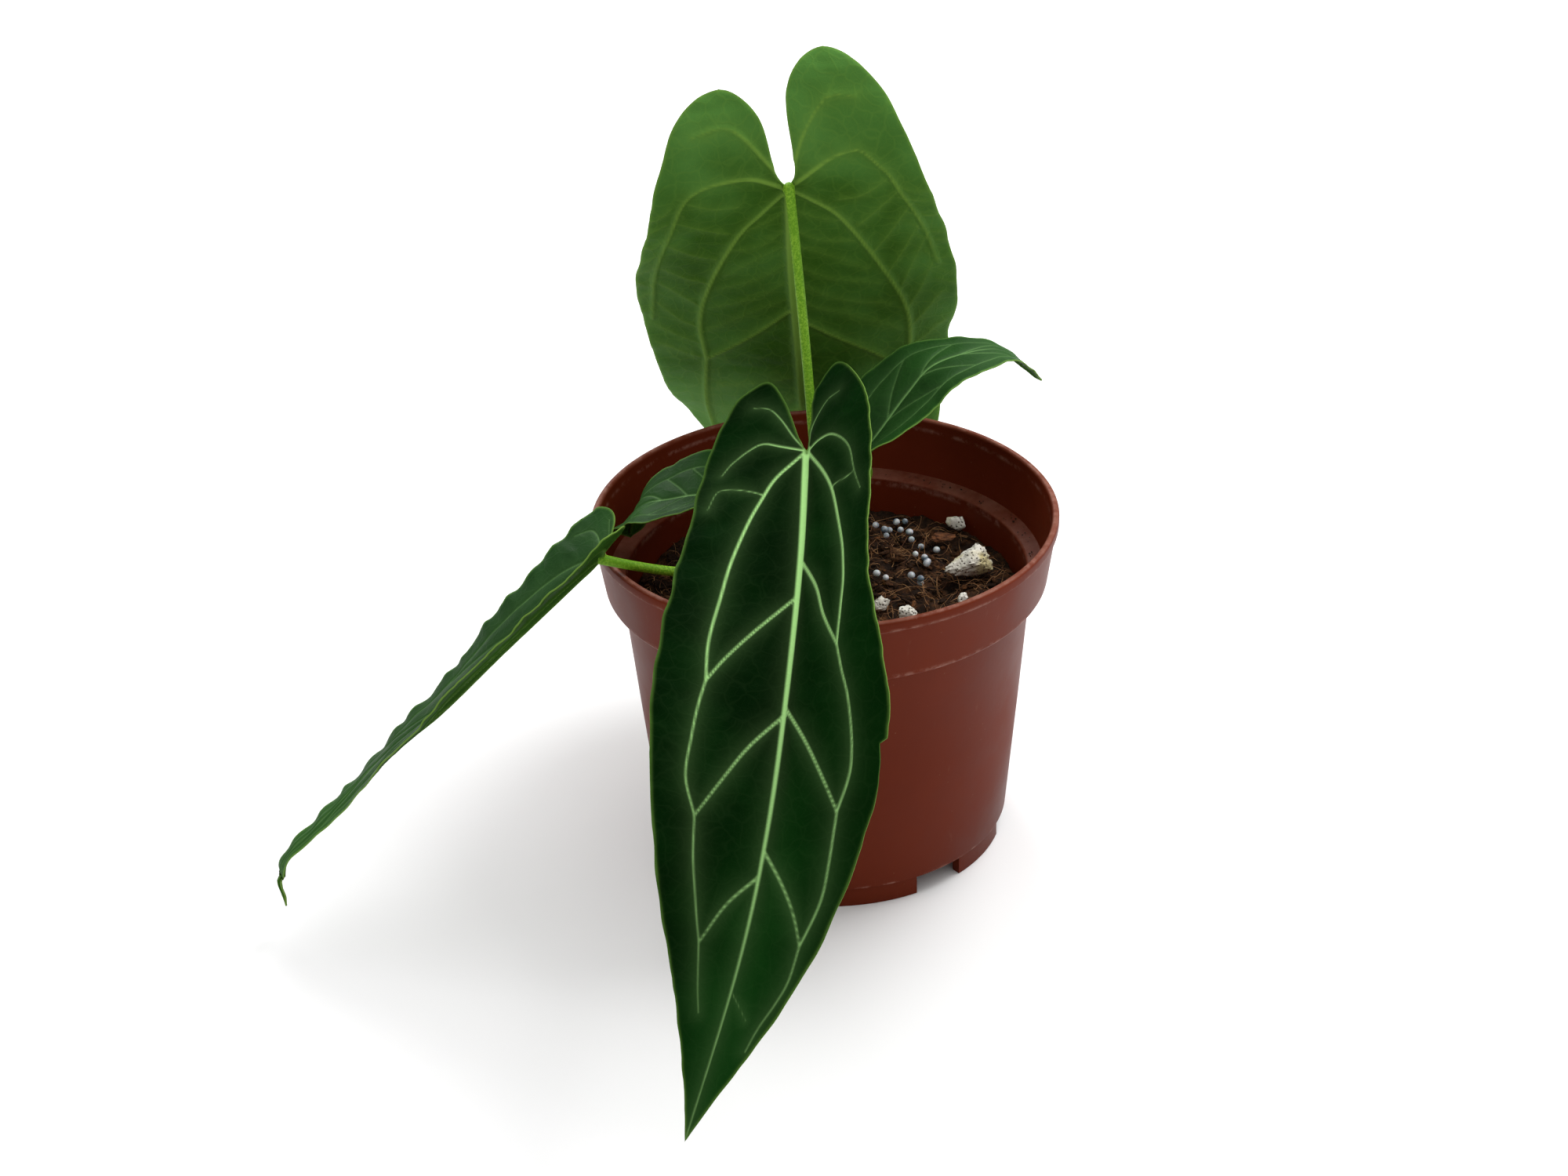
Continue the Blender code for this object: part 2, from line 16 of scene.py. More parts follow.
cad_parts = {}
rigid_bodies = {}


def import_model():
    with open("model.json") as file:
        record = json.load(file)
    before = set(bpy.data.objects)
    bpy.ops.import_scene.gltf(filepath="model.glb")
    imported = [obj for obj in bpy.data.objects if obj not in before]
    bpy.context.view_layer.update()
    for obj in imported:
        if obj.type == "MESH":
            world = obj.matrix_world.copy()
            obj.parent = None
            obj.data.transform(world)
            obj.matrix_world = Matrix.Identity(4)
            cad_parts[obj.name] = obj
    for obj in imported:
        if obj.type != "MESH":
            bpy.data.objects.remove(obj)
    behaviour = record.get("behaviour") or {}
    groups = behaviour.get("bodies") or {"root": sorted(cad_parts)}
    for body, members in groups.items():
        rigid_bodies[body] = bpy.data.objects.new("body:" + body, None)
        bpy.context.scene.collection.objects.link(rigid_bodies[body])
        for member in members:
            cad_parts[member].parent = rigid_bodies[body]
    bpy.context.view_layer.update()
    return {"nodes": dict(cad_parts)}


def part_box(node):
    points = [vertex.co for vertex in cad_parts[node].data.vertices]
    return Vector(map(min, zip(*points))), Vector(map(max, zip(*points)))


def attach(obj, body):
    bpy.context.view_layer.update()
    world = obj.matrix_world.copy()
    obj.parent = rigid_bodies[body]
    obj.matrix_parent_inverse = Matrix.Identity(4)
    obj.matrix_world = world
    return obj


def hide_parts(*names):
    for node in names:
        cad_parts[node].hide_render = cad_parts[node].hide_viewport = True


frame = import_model()

bl_info = {
    "name": "Potted Anthurium",
    "version": (1, 0, 0),
    "blender": (4, 5, 0),
    "location": "3D View > Sidebar > Anthurium",
    "description": "Builds a young velvet-leaf anthurium in its nursery pot",
    "category": "Add Mesh",
}

MM = 0.001
POT_LOW, POT_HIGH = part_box("nursery_pot")
AXIS = Vector(((POT_LOW.x + POT_HIGH.x) / 2, (POT_LOW.y + POT_HIGH.y) / 2, 0.0))
RIM_RADIUS = (POT_HIGH.x - POT_LOW.x) / 2 / MM
POT_HEIGHT = POT_HIGH.z / MM

# ---- the pot's section, in millimetres
WALL = 1.2
LIP_HEIGHT = 2.8
BAND_TOP_RADIUS = 59.3
BAND_FOOT_RADIUS = 57.0
BAND_FOOT_Z = 73.0
BODY_TOP_RADIUS = 52.9
BODY_FOOT_RADIUS = 46.2
BODY_FOOT_Z = 5.7
FOOT_RADIUS = 45.2
FOOT_THICKNESS = 2.6
FOOT_COUNT = 8
FOOT_GAP_ANGLE = 18.0
FIRST_GAP_AT = -53.0
POT_UNDER_Z = 5.2
POT_FLOOR_Z = 6.3
DRAIN_HOLE_RADIUS = 4.0
DRAIN_HOLE_RING = 33.0

# ---- the potting mix, and how far from the axis things lie on it
MIX_TOP_Z = 66.3
MIX_RADIUS = 50.9
MIX_RINGS = 84
MIX_STEPS = 288
LEDGE_Z = 75.0
LEDGE_FROM, LEDGE_TO = 52.6, 55.0
CRUMB_REACH = 49.2
FIBRE_REACH = 47.0
FIBRE_LIMIT = 49.6
FIBRE_POINTS = 9
BEAD_NEIGHBOUR = 2.6
WEDGE_TURN = 0.6

# ---- the crown of the plant
STEM_RADIUS = 4.6
STEM_TOP_Z = 72.0
STEM_FOOT_Z = 50.0
STALK_RING = 3.2
STALK_RADIUS = 1.3
STALK_STEPS = 90
NECK = 4.7
SHEATH_THICKNESS = 0.3

# ---- blades: see the leaf table. Each is drawn flat, u along the midrib from the stalk to
# the tip and v across it, and laid along its midrib in space. Angles are in degrees; curl is
# how far the lobes bend back, wave is (height, length) of the margin's waves, neck is how far
# below the blade the stalk's swollen joint turns, nick is where a margin steps in.
STATIONS = (0.93, 0.78, 0.6, 0.42, 0.25, 0.1, 0.0)
PER_SPAN = 80
DRAWN_HALF = 0.4
UV_UNIT = 100.0
BLADE_EDGE = 0.30
LEAVES = {
    "front": {
        "midrib": [(-4, -36, 127), (-6, -66, 113), (-10, -98, 95), (-15, -124, 75),
                   (-22, -142, 52), (-36, -152, 9)],
        "roll": (-24, -13, 13, 34),
        "fold": ((12, 23, 11, 8), (25, 28, 5, -9)),
        "half_widths": ((4, 15, 26, 31, 30, 27, 25), (4, 13, 22, 30, 26, 25, 24)),
        "lobes": (((17, 19), (23, 11), (16, 6), (4, 2)), ((12, 19), (21, 11), (17, 3), (7, 1))),
        "stalk_at": -90, "stalk": [(-1, -8, 94), (-2, -20, 114)],
        "rows": 330, "columns": 66, "wave": (0.15, 9.0), "nick": (84.5, -28.5),
    },
    "back": {
        "midrib": [(-7, 24, 171), (-7, 38, 145), (-6, 51, 117), (-5, 63, 88), (-3, 70, 58),
                   (-2, 76, 24)],
        "roll": (8, 4, -6),
        "fold": ((-13, 7, 3), (-3, 10, 4)),
        "curl": 18,
        "half_widths": ((9, 24, 37, 41, 43, 39, 36), (9, 24, 36, 40, 41, 37, 35)),
        "lobes": (((28, 26), (39, 13), (28, 2), (6, 2)), ((23, 27), (30, 15), (22, 6), (6, 3))),
        "stalk_at": 92, "stalk": [(-2, 5, 104), (-4, 11, 138)],
        "rows": 300, "columns": 72, "wave": (0.16, 13.0),
    },
    "right": {
        "midrib": [(8, 9, 100), (14, 12, 107), (22, 17, 116), (29, 21, 122), (41, 27, 123),
                   (49, 31, 120), (58, 35, 110)],
        "roll": (10, -2, 1),
        "fold": ((30, -1, 2), (28, -2, 3)),
        "half_widths": ((3, 7, 11, 14, 16, 17, 17), (2, 5, 10, 14, 16, 17, 17)),
        "lobes": (((6, 13), (9, 8), (7, 4), (3, 1.5)), ((6, 13), (9, 8), (7, 4), (3, 1.5))),
        "stalk_at": 20, "stalk": [(4.5, 3, 80), (7, 6, 90)],
        "rows": 220, "columns": 44, "wave": (0.12, 7.0),
    },
    "inner": {
        "midrib": [(-19, 3, 94), (-26, 4, 95), (-34, 6, 94), (-40, 8, 92), (-46, 10, 90),
                   (-50, 11, 86), (-51, 12, 79)],
        "roll": (-10, 10, -10),
        "fold": ((18, 10, -5), (18, 12, -5)),
        "half_widths": ((4, 9, 13, 15, 16, 16, 16), (5, 10, 14, 15, 16, 16, 16)),
        "lobes": (((5, 12), (7, 8), (6, 4), (3, 1.5)), ((5, 12), (7, 8), (6, 4), (3, 1.5))),
        "stalk_at": 164, "stalk": [(-8, 1, 79), (-15, 1.5, 87)],
        "rows": 170, "columns": 44, "wave": (0.2, 7.0),
    },
    "left": {
        "midrib": [(-56, -32, 98), (-67, -36, 89), (-82, -40, 76), (-98, -43, 61),
                   (-110, -46, 52), (-125, -48, 37), (-132, -49, 30), (-140, -50, 21),
                   (-140, -50, 8)],
        "roll": (-13, -11, -15, 1, 19),
        "fold": ((17, 12, 3, -13, -13), (24, 19, 9, -13, -21)),
        "half_widths": ((2, 4.5, 9, 14, 15, 15, 16), (1.5, 3.5, 8, 14, 17, 17, 17)),
        "lobes": (((6, 15), (9, 10), (8, 5), (4, 2)), ((6, 16), (10, 9), (8, 5), (4, 2))),
        "stalk_at": 222, "stalk": [(-5, -4, 77), (-20, -13, 81), (-38, -24, 88)], "neck": 2.4,
        "rows": 300, "columns": 44, "wave": (0.4, 9.0),
    },
}

# ---- veins: (points on the flat blade, width at the start, width at the end). v is above
# zero on the first half of each blade.
FRONT_VEINS = [
    ([(0, 0), (7, 7), (14, 10.5), (22, 13.5), (34, 16.5), (45, 18), (58, 19.5), (69, 19)],
     1.1, 0.8),
    ([(69, 19), (76, 20), (84, 20.5), (94, 20.5), (103, 17)], 0.75, 0.6),
    ([(103, 17), (113, 15.5), (124, 12.5), (132, 10)], 0.55, 0.45),
    ([(132, 10), (142, 8), (149, 6)], 0.4, 0.15),
    ([(43, 0), (53, 8.5), (62, 15), (69, 19)], 1.0, 0.8),
    ([(75, 0), (84, 7), (93, 12), (103, 17)], 1.0, 0.7),
    ([(114, 0), (122, 6), (132, 10)], 0.9, 0.6),
    ([(0, 0), (9, -6), (17, -10), (27, -13), (36, -15.5), (45, -16.5), (52, -16), (61, -15)],
     1.1, 0.9),
    ([(61, -15), (67, -16.5), (75, -18.5), (88, -19), (98, -16)], 0.8, 0.7),
    ([(98, -16), (108, -15.5), (117, -15), (127, -12.5)], 0.7, 0.6),
    ([(127, -12.5), (136, -12), (146, -9), (153, -7.5)], 0.55, 0.2),
    ([(33, 0), (43, -6.5), (52, -10), (61, -15)], 1.2, 0.9),
    ([(73, 0), (82, -6.5), (92, -12.5), (98, -16)], 1.1, 0.8),
    ([(108, 0), (115, -5.5), (121, -9.5), (127, -12.5)], 0.9, 0.6),
    ([(141, 0), (146, -5.5)], 0.2, 0.0),
    ([(0, 0), (-2.5, 6.5), (-4, 11), (-2.5, 14.5), (1, 18.5), (5, 21)], 0.8, 0.1),
    ([(0, 0), (-5, 3.5), (-11, 7), (-14.5, 10), (-15.5, 14)], 0.5, 0.02),
    ([(0, 0), (-1, -4), (0, -9), (4, -13.5), (9, -16.5), (17, -18.5), (23, -21)], 0.9, 0.15),
    ([(17, -18.5), (16.5, -10)], 0.4, 0.3),
    ([(0, 0), (-6, -1.5), (-9, -3.5), (-11.5, -7.5), (-11.5, -12)], 0.5, 0.02),
    ([(12.5, 10), (11, 13.5), (10, 17.5), (10.5, 21.5), (16.5, 23.5)], 0.4, 0.02),
]
BACK_VEINS = [
    ([(0, 0), (8, -7), (17, -13.5), (38, -21.5), (55, -25.5), (71, -25)], 1.3, 1.0),
    ([(71, -25), (90, -27), (103, -28)], 0.9, 0.7),
    ([(0, 0), (5, 7), (12, 13.5), (31, 22.5), (50, 29), (67, 30), (80, 28)], 1.3, 0.9),
    ([(80, 28), (96, 25), (112, 22)], 0.8, 0.7),
    ([(48, 0), (60, -12), (71, -25)], 1.2, 1.0),
    ([(52, 0), (63, 12), (72, 22), (80, 28)], 1.2, 0.9),
    ([(88, 0), (99, -12), (103, -28)], 1.0, 0.7),
    ([(92, 0), (104, 13), (112, 22)], 1.0, 0.7),
    ([(103, -28), (120, -20), (138, -9)], 0.7, 0.3),
    ([(112, 22), (126, 15), (142, 7)], 0.7, 0.3),
    ([(0, 0), (-5, -8), (-6, -14.5), (-5, -22), (-1, -27), (9, -30), (30, -35), (54, -38)],
     1.1, 0.5),
    ([(0, 0), (-8, -4), (-17.5, -10.5), (-20.5, -15.5), (-19.5, -23)], 0.9, 0.35),
    ([(0, 0), (-6, 6), (-10.5, 11.5), (-13, 18), (-9, 23), (-3.5, 27), (15, 34), (33, 38)],
     1.1, 0.5),
    ([(0, 0), (-10, 2.5), (-18.5, 6), (-26, 12), (-26.5, 19)], 0.9, 0.35),
]
# Fine cross veins of the back blade: (first edge, second edge, number, width)
BACK_RUNGS = [
    ([(4, -13), (30, -20), (55, -25.5), (71, -25)],
     [(-3, -27), (20, -33.5), (42, -37), (66, -38)], 8, 0.2),
    ([(4, 13), (31, 22.5), (50, 29), (70, 30)],
     [(-6, 25), (8, 32), (26, 37), (60, 40)], 8, 0.2),
    ([(8, 0), (44, 0)], [(16, -12), (58, -25)], 6, 0.12),
    ([(8, 0), (46, 0)], [(14, 14), (60, 28)], 6, 0.12),
    ([(0, -30), (54, -38)], [(4, -37), (58, -42)], 9, 0.15),
    ([(-4, 26), (40, 38)], [(-2, 36), (44, 43)], 8, 0.15),
    ([(76, 0), (100, 0)], [(84, -22), (112, -22)], 4, 0.15),
]


# ===================================================================== settings

class BladeSettings(bpy.types.PropertyGroup):
    """Sizes and colours of the leaf blades."""

    thickness: bpy.props.FloatProperty(
        name="Thickness", description="Thickness of the blade between its veins",
        default=0.0005, min=0.0002, max=0.001, unit="LENGTH")
    vein_depth: bpy.props.FloatProperty(
        name="Vein depth", description="How far the veins sink into the upper side",
        default=0.00045, min=0.0, max=0.001, unit="LENGTH")
    velvet: bpy.props.FloatVectorProperty(
        name="Velvet green", description="Upper side of the large blades",
        default=(0.0004, 0.0068, 0.0005), size=3, subtype="COLOR", min=0.0, max=1.0)
    satin: bpy.props.FloatVectorProperty(
        name="Satin green", description="Upper side of the small blades",
        default=(0.0095, 0.040, 0.0070), size=3, subtype="COLOR", min=0.0, max=1.0)
    underside: bpy.props.FloatVectorProperty(
        name="Underside green", description="Underside of the blades",
        default=(0.029, 0.090, 0.007), size=3, subtype="COLOR", min=0.0, max=1.0)
    vein: bpy.props.FloatVectorProperty(
        name="Vein green", description="Veins on the upper side",
        default=(0.40, 0.73, 0.25), size=3, subtype="COLOR", min=0.0, max=1.0)


class PotSettings(bpy.types.PropertyGroup):
    """Colours and facets of the nursery pot."""

    plastic: bpy.props.FloatVectorProperty(
        name="Plastic", description="Colour of the pot's plastic",
        default=(0.115, 0.0155, 0.0040), size=3, subtype="COLOR", min=0.0, max=1.0)
    steps: bpy.props.IntProperty(
        name="Steps", description="Steps round the pot", default=192, min=48, max=256)


class MixSettings(bpy.types.PropertyGroup):
    """Amounts and colours of the potting mix."""

    crumbs: bpy.props.IntProperty(
        name="Crumbs", description="Loose crumbs on the mix", default=1500, min=0, max=3000)
    fibres: bpy.props.IntProperty(
        name="Fibres", description="Loose coir fibres on the mix", default=640, min=0, max=900)
    dark: bpy.props.FloatVectorProperty(
        name="Dark mix", description="Darkest part of the mix",
        default=(0.012, 0.005, 0.002), size=3, subtype="COLOR", min=0.0, max=1.0)
    light: bpy.props.FloatVectorProperty(
        name="Light mix", description="Lightest part of the mix",
        default=(0.22, 0.085, 0.028), size=3, subtype="COLOR", min=0.0, max=1.0)


class StageSettings(bpy.types.PropertyGroup):
    """Camera and light."""

    lens: bpy.props.FloatProperty(
        name="Lens", description="Focal length in millimetres", default=79.95, min=20, max=200)
    surround: bpy.props.FloatProperty(
        name="Surround", description="Strength of the light from all sides",
        default=1.25, min=0.0, max=3.0)
    key: bpy.props.FloatProperty(
        name="Key light", description="Power of the large lamp", default=9.0, min=0.0,
        max=100.0, unit="POWER")


# ====================================================================== helpers

def to_frame(points):
    """Turn an array of points in millimetres from the pot's axis into the frame."""
    return np.asarray(points, float) * MM + np.array(AXIS)


def in_frame(point):
    """Turn one point in millimetres from the pot's axis into the frame."""
    return Vector(point) * MM + AXIS


def through(points, steps):
    """Points on a smooth curve through the given ones (Catmull-Rom), ends included."""
    known = np.array(points, float)
    known = np.vstack([2 * known[0] - known[1], known, 2 * known[-1] - known[-2]])
    spans = len(points) - 1
    places = np.linspace(0.0, spans, steps)
    first = np.minimum(places.astype(int), spans - 1)
    f = (places - first)[:, None]
    a, b, c, d = (known[first + k] for k in range(4))
    return 0.5 * (2 * b + (c - a) * f + (2 * a - 5 * b + 4 * c - d) * f ** 2
                  + (3 * b - a - 3 * c + d) * f ** 3)


def at_fraction(values, fraction):
    """Smoothly interpolate evenly spaced values at fractions from 0 to 1."""
    table = through([(float(v),) for v in values], 16 * (len(values) - 1) + 1)[:, 0]
    return np.interp(fraction, np.linspace(0.0, 1.0, len(table)), table)


def object_from(bm, name):
    """Write a bmesh to a new mesh object in the scene."""
    mesh = bpy.data.meshes.new(name)
    bm.to_mesh(mesh)
    bm.free()
    obj = bpy.data.objects.new(name, mesh)
    bpy.context.scene.collection.objects.link(obj)
    return obj


def finish_piece(obj, materials, nodes=(), smooth=60):
    """Give a piece its materials, shading, body and the CAD nodes it stands for."""
    if smooth is not None:
        obj.data.shade_smooth()
        obj.data.set_sharp_from_angle(angle=math.radians(smooth))
    for mat in materials:
        obj.data.materials.append(mat)
    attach(obj, "root")
    if nodes:
        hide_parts(*nodes)
    return obj


def settle(obj):
    """Apply an object's modifiers to its mesh."""
    bpy.context.view_layer.update()
    ready = obj.evaluated_get(bpy.context.evaluated_depsgraph_get())
    mesh = bpy.data.meshes.new_from_object(ready)
    obj.modifiers.clear()
    obj.data = mesh
    return obj


def bars(name, routes, sides):
    """Round bars with closed ends, one for each (points in millimetres, radii), as one mesh."""
    curve = bpy.data.curves.new(name + "_route", "CURVE")
    curve.dimensions = "3D"
    curve.bevel_depth = MM
    curve.bevel_resolution = sides
    curve.use_fill_caps = True
    for points, radii in routes:
        spline = curve.splines.new("POLY")
        spline.points.add(len(points) - 1)
        for place, point, radius in zip(spline.points, points, radii):
            place.co = (*in_frame(point), 1.0)
            place.radius = radius
    route = bpy.data.objects.new(name + "_route", curve)
    bpy.context.scene.collection.objects.link(route)
    bpy.context.view_layer.update()
    ready = route.evaluated_get(bpy.context.evaluated_depsgraph_get())
    mesh = bpy.data.meshes.new_from_object(ready)
    bpy.data.objects.remove(route)
    obj = bpy.data.objects.new(name, mesh)
    bpy.context.scene.collection.objects.link(obj)
    obj.data.materials.clear()
    return obj


def node_names(prefix):
    """The names of the CAD nodes that start with a prefix."""
    return sorted(name for name in frame["nodes"] if name.startswith(prefix))


# ==================================================================== materials

class Finish:
    """A Principled material that is put together node by node."""

    def __init__(self, name, roughness=0.5, specular=0.5):
        self.material = bpy.data.materials.new(name)
        self.material.use_nodes = True
        self.tree = self.material.node_tree
        self.shader = self.tree.nodes["Principled BSDF"]
        self.set("Roughness", roughness)
        self.set("Specular IOR Level", specular)

    def set(self, socket, value):
        """Set one of the shader's own sockets to a constant."""
        self.shader.inputs[socket].default_value = value

    def use(self, source, socket):
        """Drive one of the shader's sockets."""
        self.tree.links.new(source, self.shader.inputs[socket])

    def node(self, kind, inputs=None, **settings):
        """Add a node; inputs holds values or sockets by name."""
        made = self.tree.nodes.new(kind)
        for key, value in settings.items():
            setattr(made, key, value)
        for key, value in (inputs or {}).items():
            if isinstance(value, bpy.types.NodeSocket):
                self.tree.links.new(value, made.inputs[key])
            else:
                made.inputs[key].default_value = value
        return made

    def coords(self, kind="Object", scale=(1, 1, 1)):
        """Coordinates from the object or its own map, stretched by scale."""
        source = self.node("ShaderNodeTexCoord").outputs[kind]
        return self.node("ShaderNodeMapping", {"Vector": source, "Scale": scale}).outputs[0]

    def noise(self, coords, scale, detail=3.0, roughness=0.55, distortion=0.0):
        """Soft noise from 0 to 1."""
        inputs = {"Vector": coords, "Scale": scale, "Detail": detail,
                  "Roughness": roughness, "Distortion": distortion}
        return self.node("ShaderNodeTexNoise", inputs).outputs["Fac"]

    def cells(self, coords, scale, feature="F1"):
        """Distances in a field of cells."""
        inputs = {"Vector": coords, "Scale": scale}
        return self.node("ShaderNodeTexVoronoi", inputs, feature=feature).outputs["Distance"]

    def attribute(self, name):
        """A value stored on the piece's mesh."""
        return self.node("ShaderNodeAttribute", attribute_name=name).outputs["Fac"]

    def remap(self, value, low, high, out_low=0.0, out_high=1.0):
        """Map a value between two limits smoothly to two others."""
        inputs = {"Value": value, "From Min": low, "From Max": high,
                  "To Min": out_low, "To Max": out_high}
        made = self.node("ShaderNodeMapRange", inputs, interpolation_type="SMOOTHSTEP")
        return made.outputs[0]

    def maths(self, operation, first, second):
        """One sum on two values or sockets."""
        made = self.node("ShaderNodeMath", operation=operation)
        for place, value in enumerate((first, second)):
            if isinstance(value, bpy.types.NodeSocket):
                self.tree.links.new(value, made.inputs[place])
            else:
                made.inputs[place].default_value = value
        return made.outputs[0]

    def mix(self, factor, first, second):
        """Mix two colours, given as socket or (r, g, b)."""
        made = self.node("ShaderNodeMix", data_type="RGBA")
        for place, value in ((0, factor), (6, first), (7, second)):
            if isinstance(value, bpy.types.NodeSocket):
                self.tree.links.new(value, made.inputs[place])
            elif place == 0:
                made.inputs[0].default_value = value
            else:
                made.inputs[place].default_value = (*value, 1.0)
        return made.outputs[2]

    def bump(self, height, distance, strength=1.0, under=None):
        """Bump from a height, over an earlier bump where one is given."""
        inputs = {"Height": height, "Distance": distance, "Strength": strength}
        if under is not None:
            inputs["Normal"] = under
        return self.node("ShaderNodeBump", inputs).outputs[0]


def blade_finish(name, base, vein, glow, margin_sheen, net, mottle, gloss, roughness):
    """A blade's skin: ground colour, mottling with painted light, fine net, veins with a soft glow,
    and a margin line painted as sheen.

    mottle is how many times lighter than the base the pale parts are, for each channel; glow
    and net are how strongly the vein colour shows beside the veins and in the fine net.
    """
    made = Finish(name, roughness, gloss)
    flat = made.coords("UV")
    light = tuple(min(1.0, c * m) for c, m in zip(base, mottle))
    patches = made.noise(flat, 5.0, 2.0, 0.5)
    mottled = made.remap(patches, 0.35, 0.8, 0.0, 1.2 / mottle[1])
    # The pale attribute, painted light on most blades, is added to the mottling here.
    mottle_and_painted_light = made.maths("ADD", mottled, made.attribute("pale"))
    colour = made.mix(made.maths("MINIMUM", mottle_and_painted_light, 1.0), tuple(base), light)
    warped = made.node("ShaderNodeVectorMath", operation="ADD")
    drift = made.node("ShaderNodeTexNoise", {"Vector": flat, "Scale": 16.0}).outputs["Color"]
    small = made.node("ShaderNodeVectorMath", {0: drift}, operation="SCALE")
    small.inputs["Scale"].default_value = 0.05
    made.tree.links.new(flat, warped.inputs[0])
    made.tree.links.new(small.outputs[0], warped.inputs[1])
    edges = made.cells(warped.outputs[0], 20.0, "DISTANCE_TO_EDGE")
    fine = made.cells(warped.outputs[0], 52.0, "DISTANCE_TO_EDGE")
    lines = made.remap(edges, 0.0, 0.09, 1.0, 0.0)
    faint = made.remap(fine, 0.0, 0.11, 0.5, 0.0)
    web = made.maths("MAXIMUM", lines, faint)
    colour = made.mix(made.maths("MULTIPLY", web, net), colour, tuple(vein))
    spread = made.maths("MULTIPLY", made.attribute("glow"), glow)
    colour = made.mix(spread, colour, tuple(vein))
    core = made.remap(made.attribute("vein"), -0.42, 0.42, 1.0, 0.0)
    core = made.maths("POWER", core, 1.7)
    far = made.node("ShaderNodeSeparateXYZ", {"Vector": flat}).outputs["Y"]
    strong = made.remap(far, 0.2, 1.5, 0.97, 0.5)
    colour = made.mix(made.maths("MULTIPLY", core, strong), colour, tuple(vein))
    # Painted sheen: a thin pale line along the margins, where the velvet catches the light.
    colour = made.mix(made.maths("MULTIPLY", made.attribute("rim"), 0.85), colour, margin_sheen)
    made.use(colour, "Base Color")
    grain = made.noise(flat, 260.0, 2.0, 0.6)
    relief = made.bump(grain, 0.00006, 0.5)
    made.use(made.bump(web, 0.00008, 0.5, relief), "Normal")
    return made.material


def stalk_finish():
    """Leaf stalks: pale green with darker and lighter grains."""
    made = Finish("stalk_green", 0.5, 0.15)
    place = made.coords()
    grains = made.noise(place, 1900.0, 2.0, 0.7)
    long_patches = made.noise(place, 120.0, 2.0)
    colour = made.mix(made.remap(grains, 0.42, 0.62), (0.11, 0.27, 0.010), (0.24, 0.44, 0.030))
    colour = made.mix(made.remap(long_patches, 0.35, 0.7, 0.0, 0.5), colour, (0.10, 0.26, 0.008))
    made.use(colour, "Base Color")
    made.use(made.bump(grains, 0.00012, 0.7), "Normal")
    return made.material


def plastic_finish(settings):
    """Brown moulded plastic with chalky scuffs, dust and fine scratches, painted shade towards the
    bottom, painted light on upward faces and a painted highlight along the top of the lip.
    """
    made = Finish("brown_plastic", 0.4, 0.07)
    place = made.coords()
    base = tuple(settings.plastic)
    cloudy = made.noise(place, 26.0, 4.0, 0.6)
    colour = made.mix(made.remap(cloudy, 0.3, 0.75), base, tuple(c * 1.22 for c in base))
    height = made.node("ShaderNodeSeparateXYZ", {"Vector": made.coords()}).outputs["Z"]
    # Painted shade: the lowest 60 mm of the pot darkened towards the floor.
    low = made.remap(height, 0.0, 0.06, 0.82, 0.0)
    colour = made.mix(made.maths("MULTIPLY", low, 0.35), colour, tuple(c * 0.6 for c in base))
    streaks = made.noise(made.coords(scale=(1.0, 1.0, 0.16)), 420.0, 2.0, 0.6, 0.4)
    worn = made.noise(place, 60.0, 3.0, 0.65)
    scuff = made.maths("MULTIPLY", made.remap(streaks, 0.66, 0.8), made.remap(worn, 0.5, 0.7))
    specks = made.remap(made.cells(place, 330.0), 0.0, 0.09, 1.0, 0.0)
    specks = made.maths("MULTIPLY", specks, made.remap(worn, 0.45, 0.6))
    marks = made.maths("MAXIMUM", scuff, specks)
    # Chalky wear along the pot's edges; the line along the top of the lip is also a painted
    # highlight.
    edge_wear_and_highlight = 0.0
    for level, reach in ((POT_HEIGHT - LIP_HEIGHT, 0.9), (BAND_FOOT_Z + 0.6, 1.3),
                         (BODY_FOOT_Z + 0.2, 0.7), (POT_HEIGHT, 0.5)):
        away = made.maths("ABSOLUTE", made.maths("SUBTRACT", height, level * MM), 0.0)
        edge_wear_and_highlight = made.maths("MAXIMUM", made.remap(away, 0.0, reach * MM, 1.0, 0.0), edge_wear_and_highlight)
    crumbled = made.remap(made.noise(place, 240.0, 4.0, 0.75), 0.42, 0.66)
    chalk_and_highlight = made.maths("MULTIPLY", edge_wear_and_highlight, crumbled)
    colour = made.mix(made.maths("MULTIPLY", marks, 0.35), colour, (0.34, 0.18, 0.13))
    colour = made.mix(made.maths("MULTIPLY", chalk_and_highlight, 0.4), colour, (0.42, 0.22, 0.17))
    # Dust and painted light: faces that look upwards made lighter, partly dust and partly as lit
    # from above.
    facing = made.node("ShaderNodeNewGeometry").outputs["Normal"]
    level_top = made.node("ShaderNodeSeparateXYZ", {"Vector": facing}).outputs["Z"]
    dust_and_top_light = made.maths("MULTIPLY", made.remap(level_top, 0.35, 0.9),
                      made.remap(made.noise(place, 90.0, 4.0, 0.7), 0.3, 0.7, 0.15, 0.6))
    colour = made.mix(dust_and_top_light, colour, (0.26, 0.11, 0.075))
    made.use(colour, "Base Color")
    gloss = made.remap(cloudy, 0.3, 0.8, 0.4, 0.56)
    made.use(made.maths("ADD", gloss, made.maths("MULTIPLY", marks, 0.25)), "Roughness")
    orange_peel = made.noise(place, 420.0, 2.0, 0.5)
    relief = made.bump(orange_peel, 0.00005, 0.35)
    made.use(made.bump(marks, 0.00005, 0.4, relief), "Normal")
    return made.material


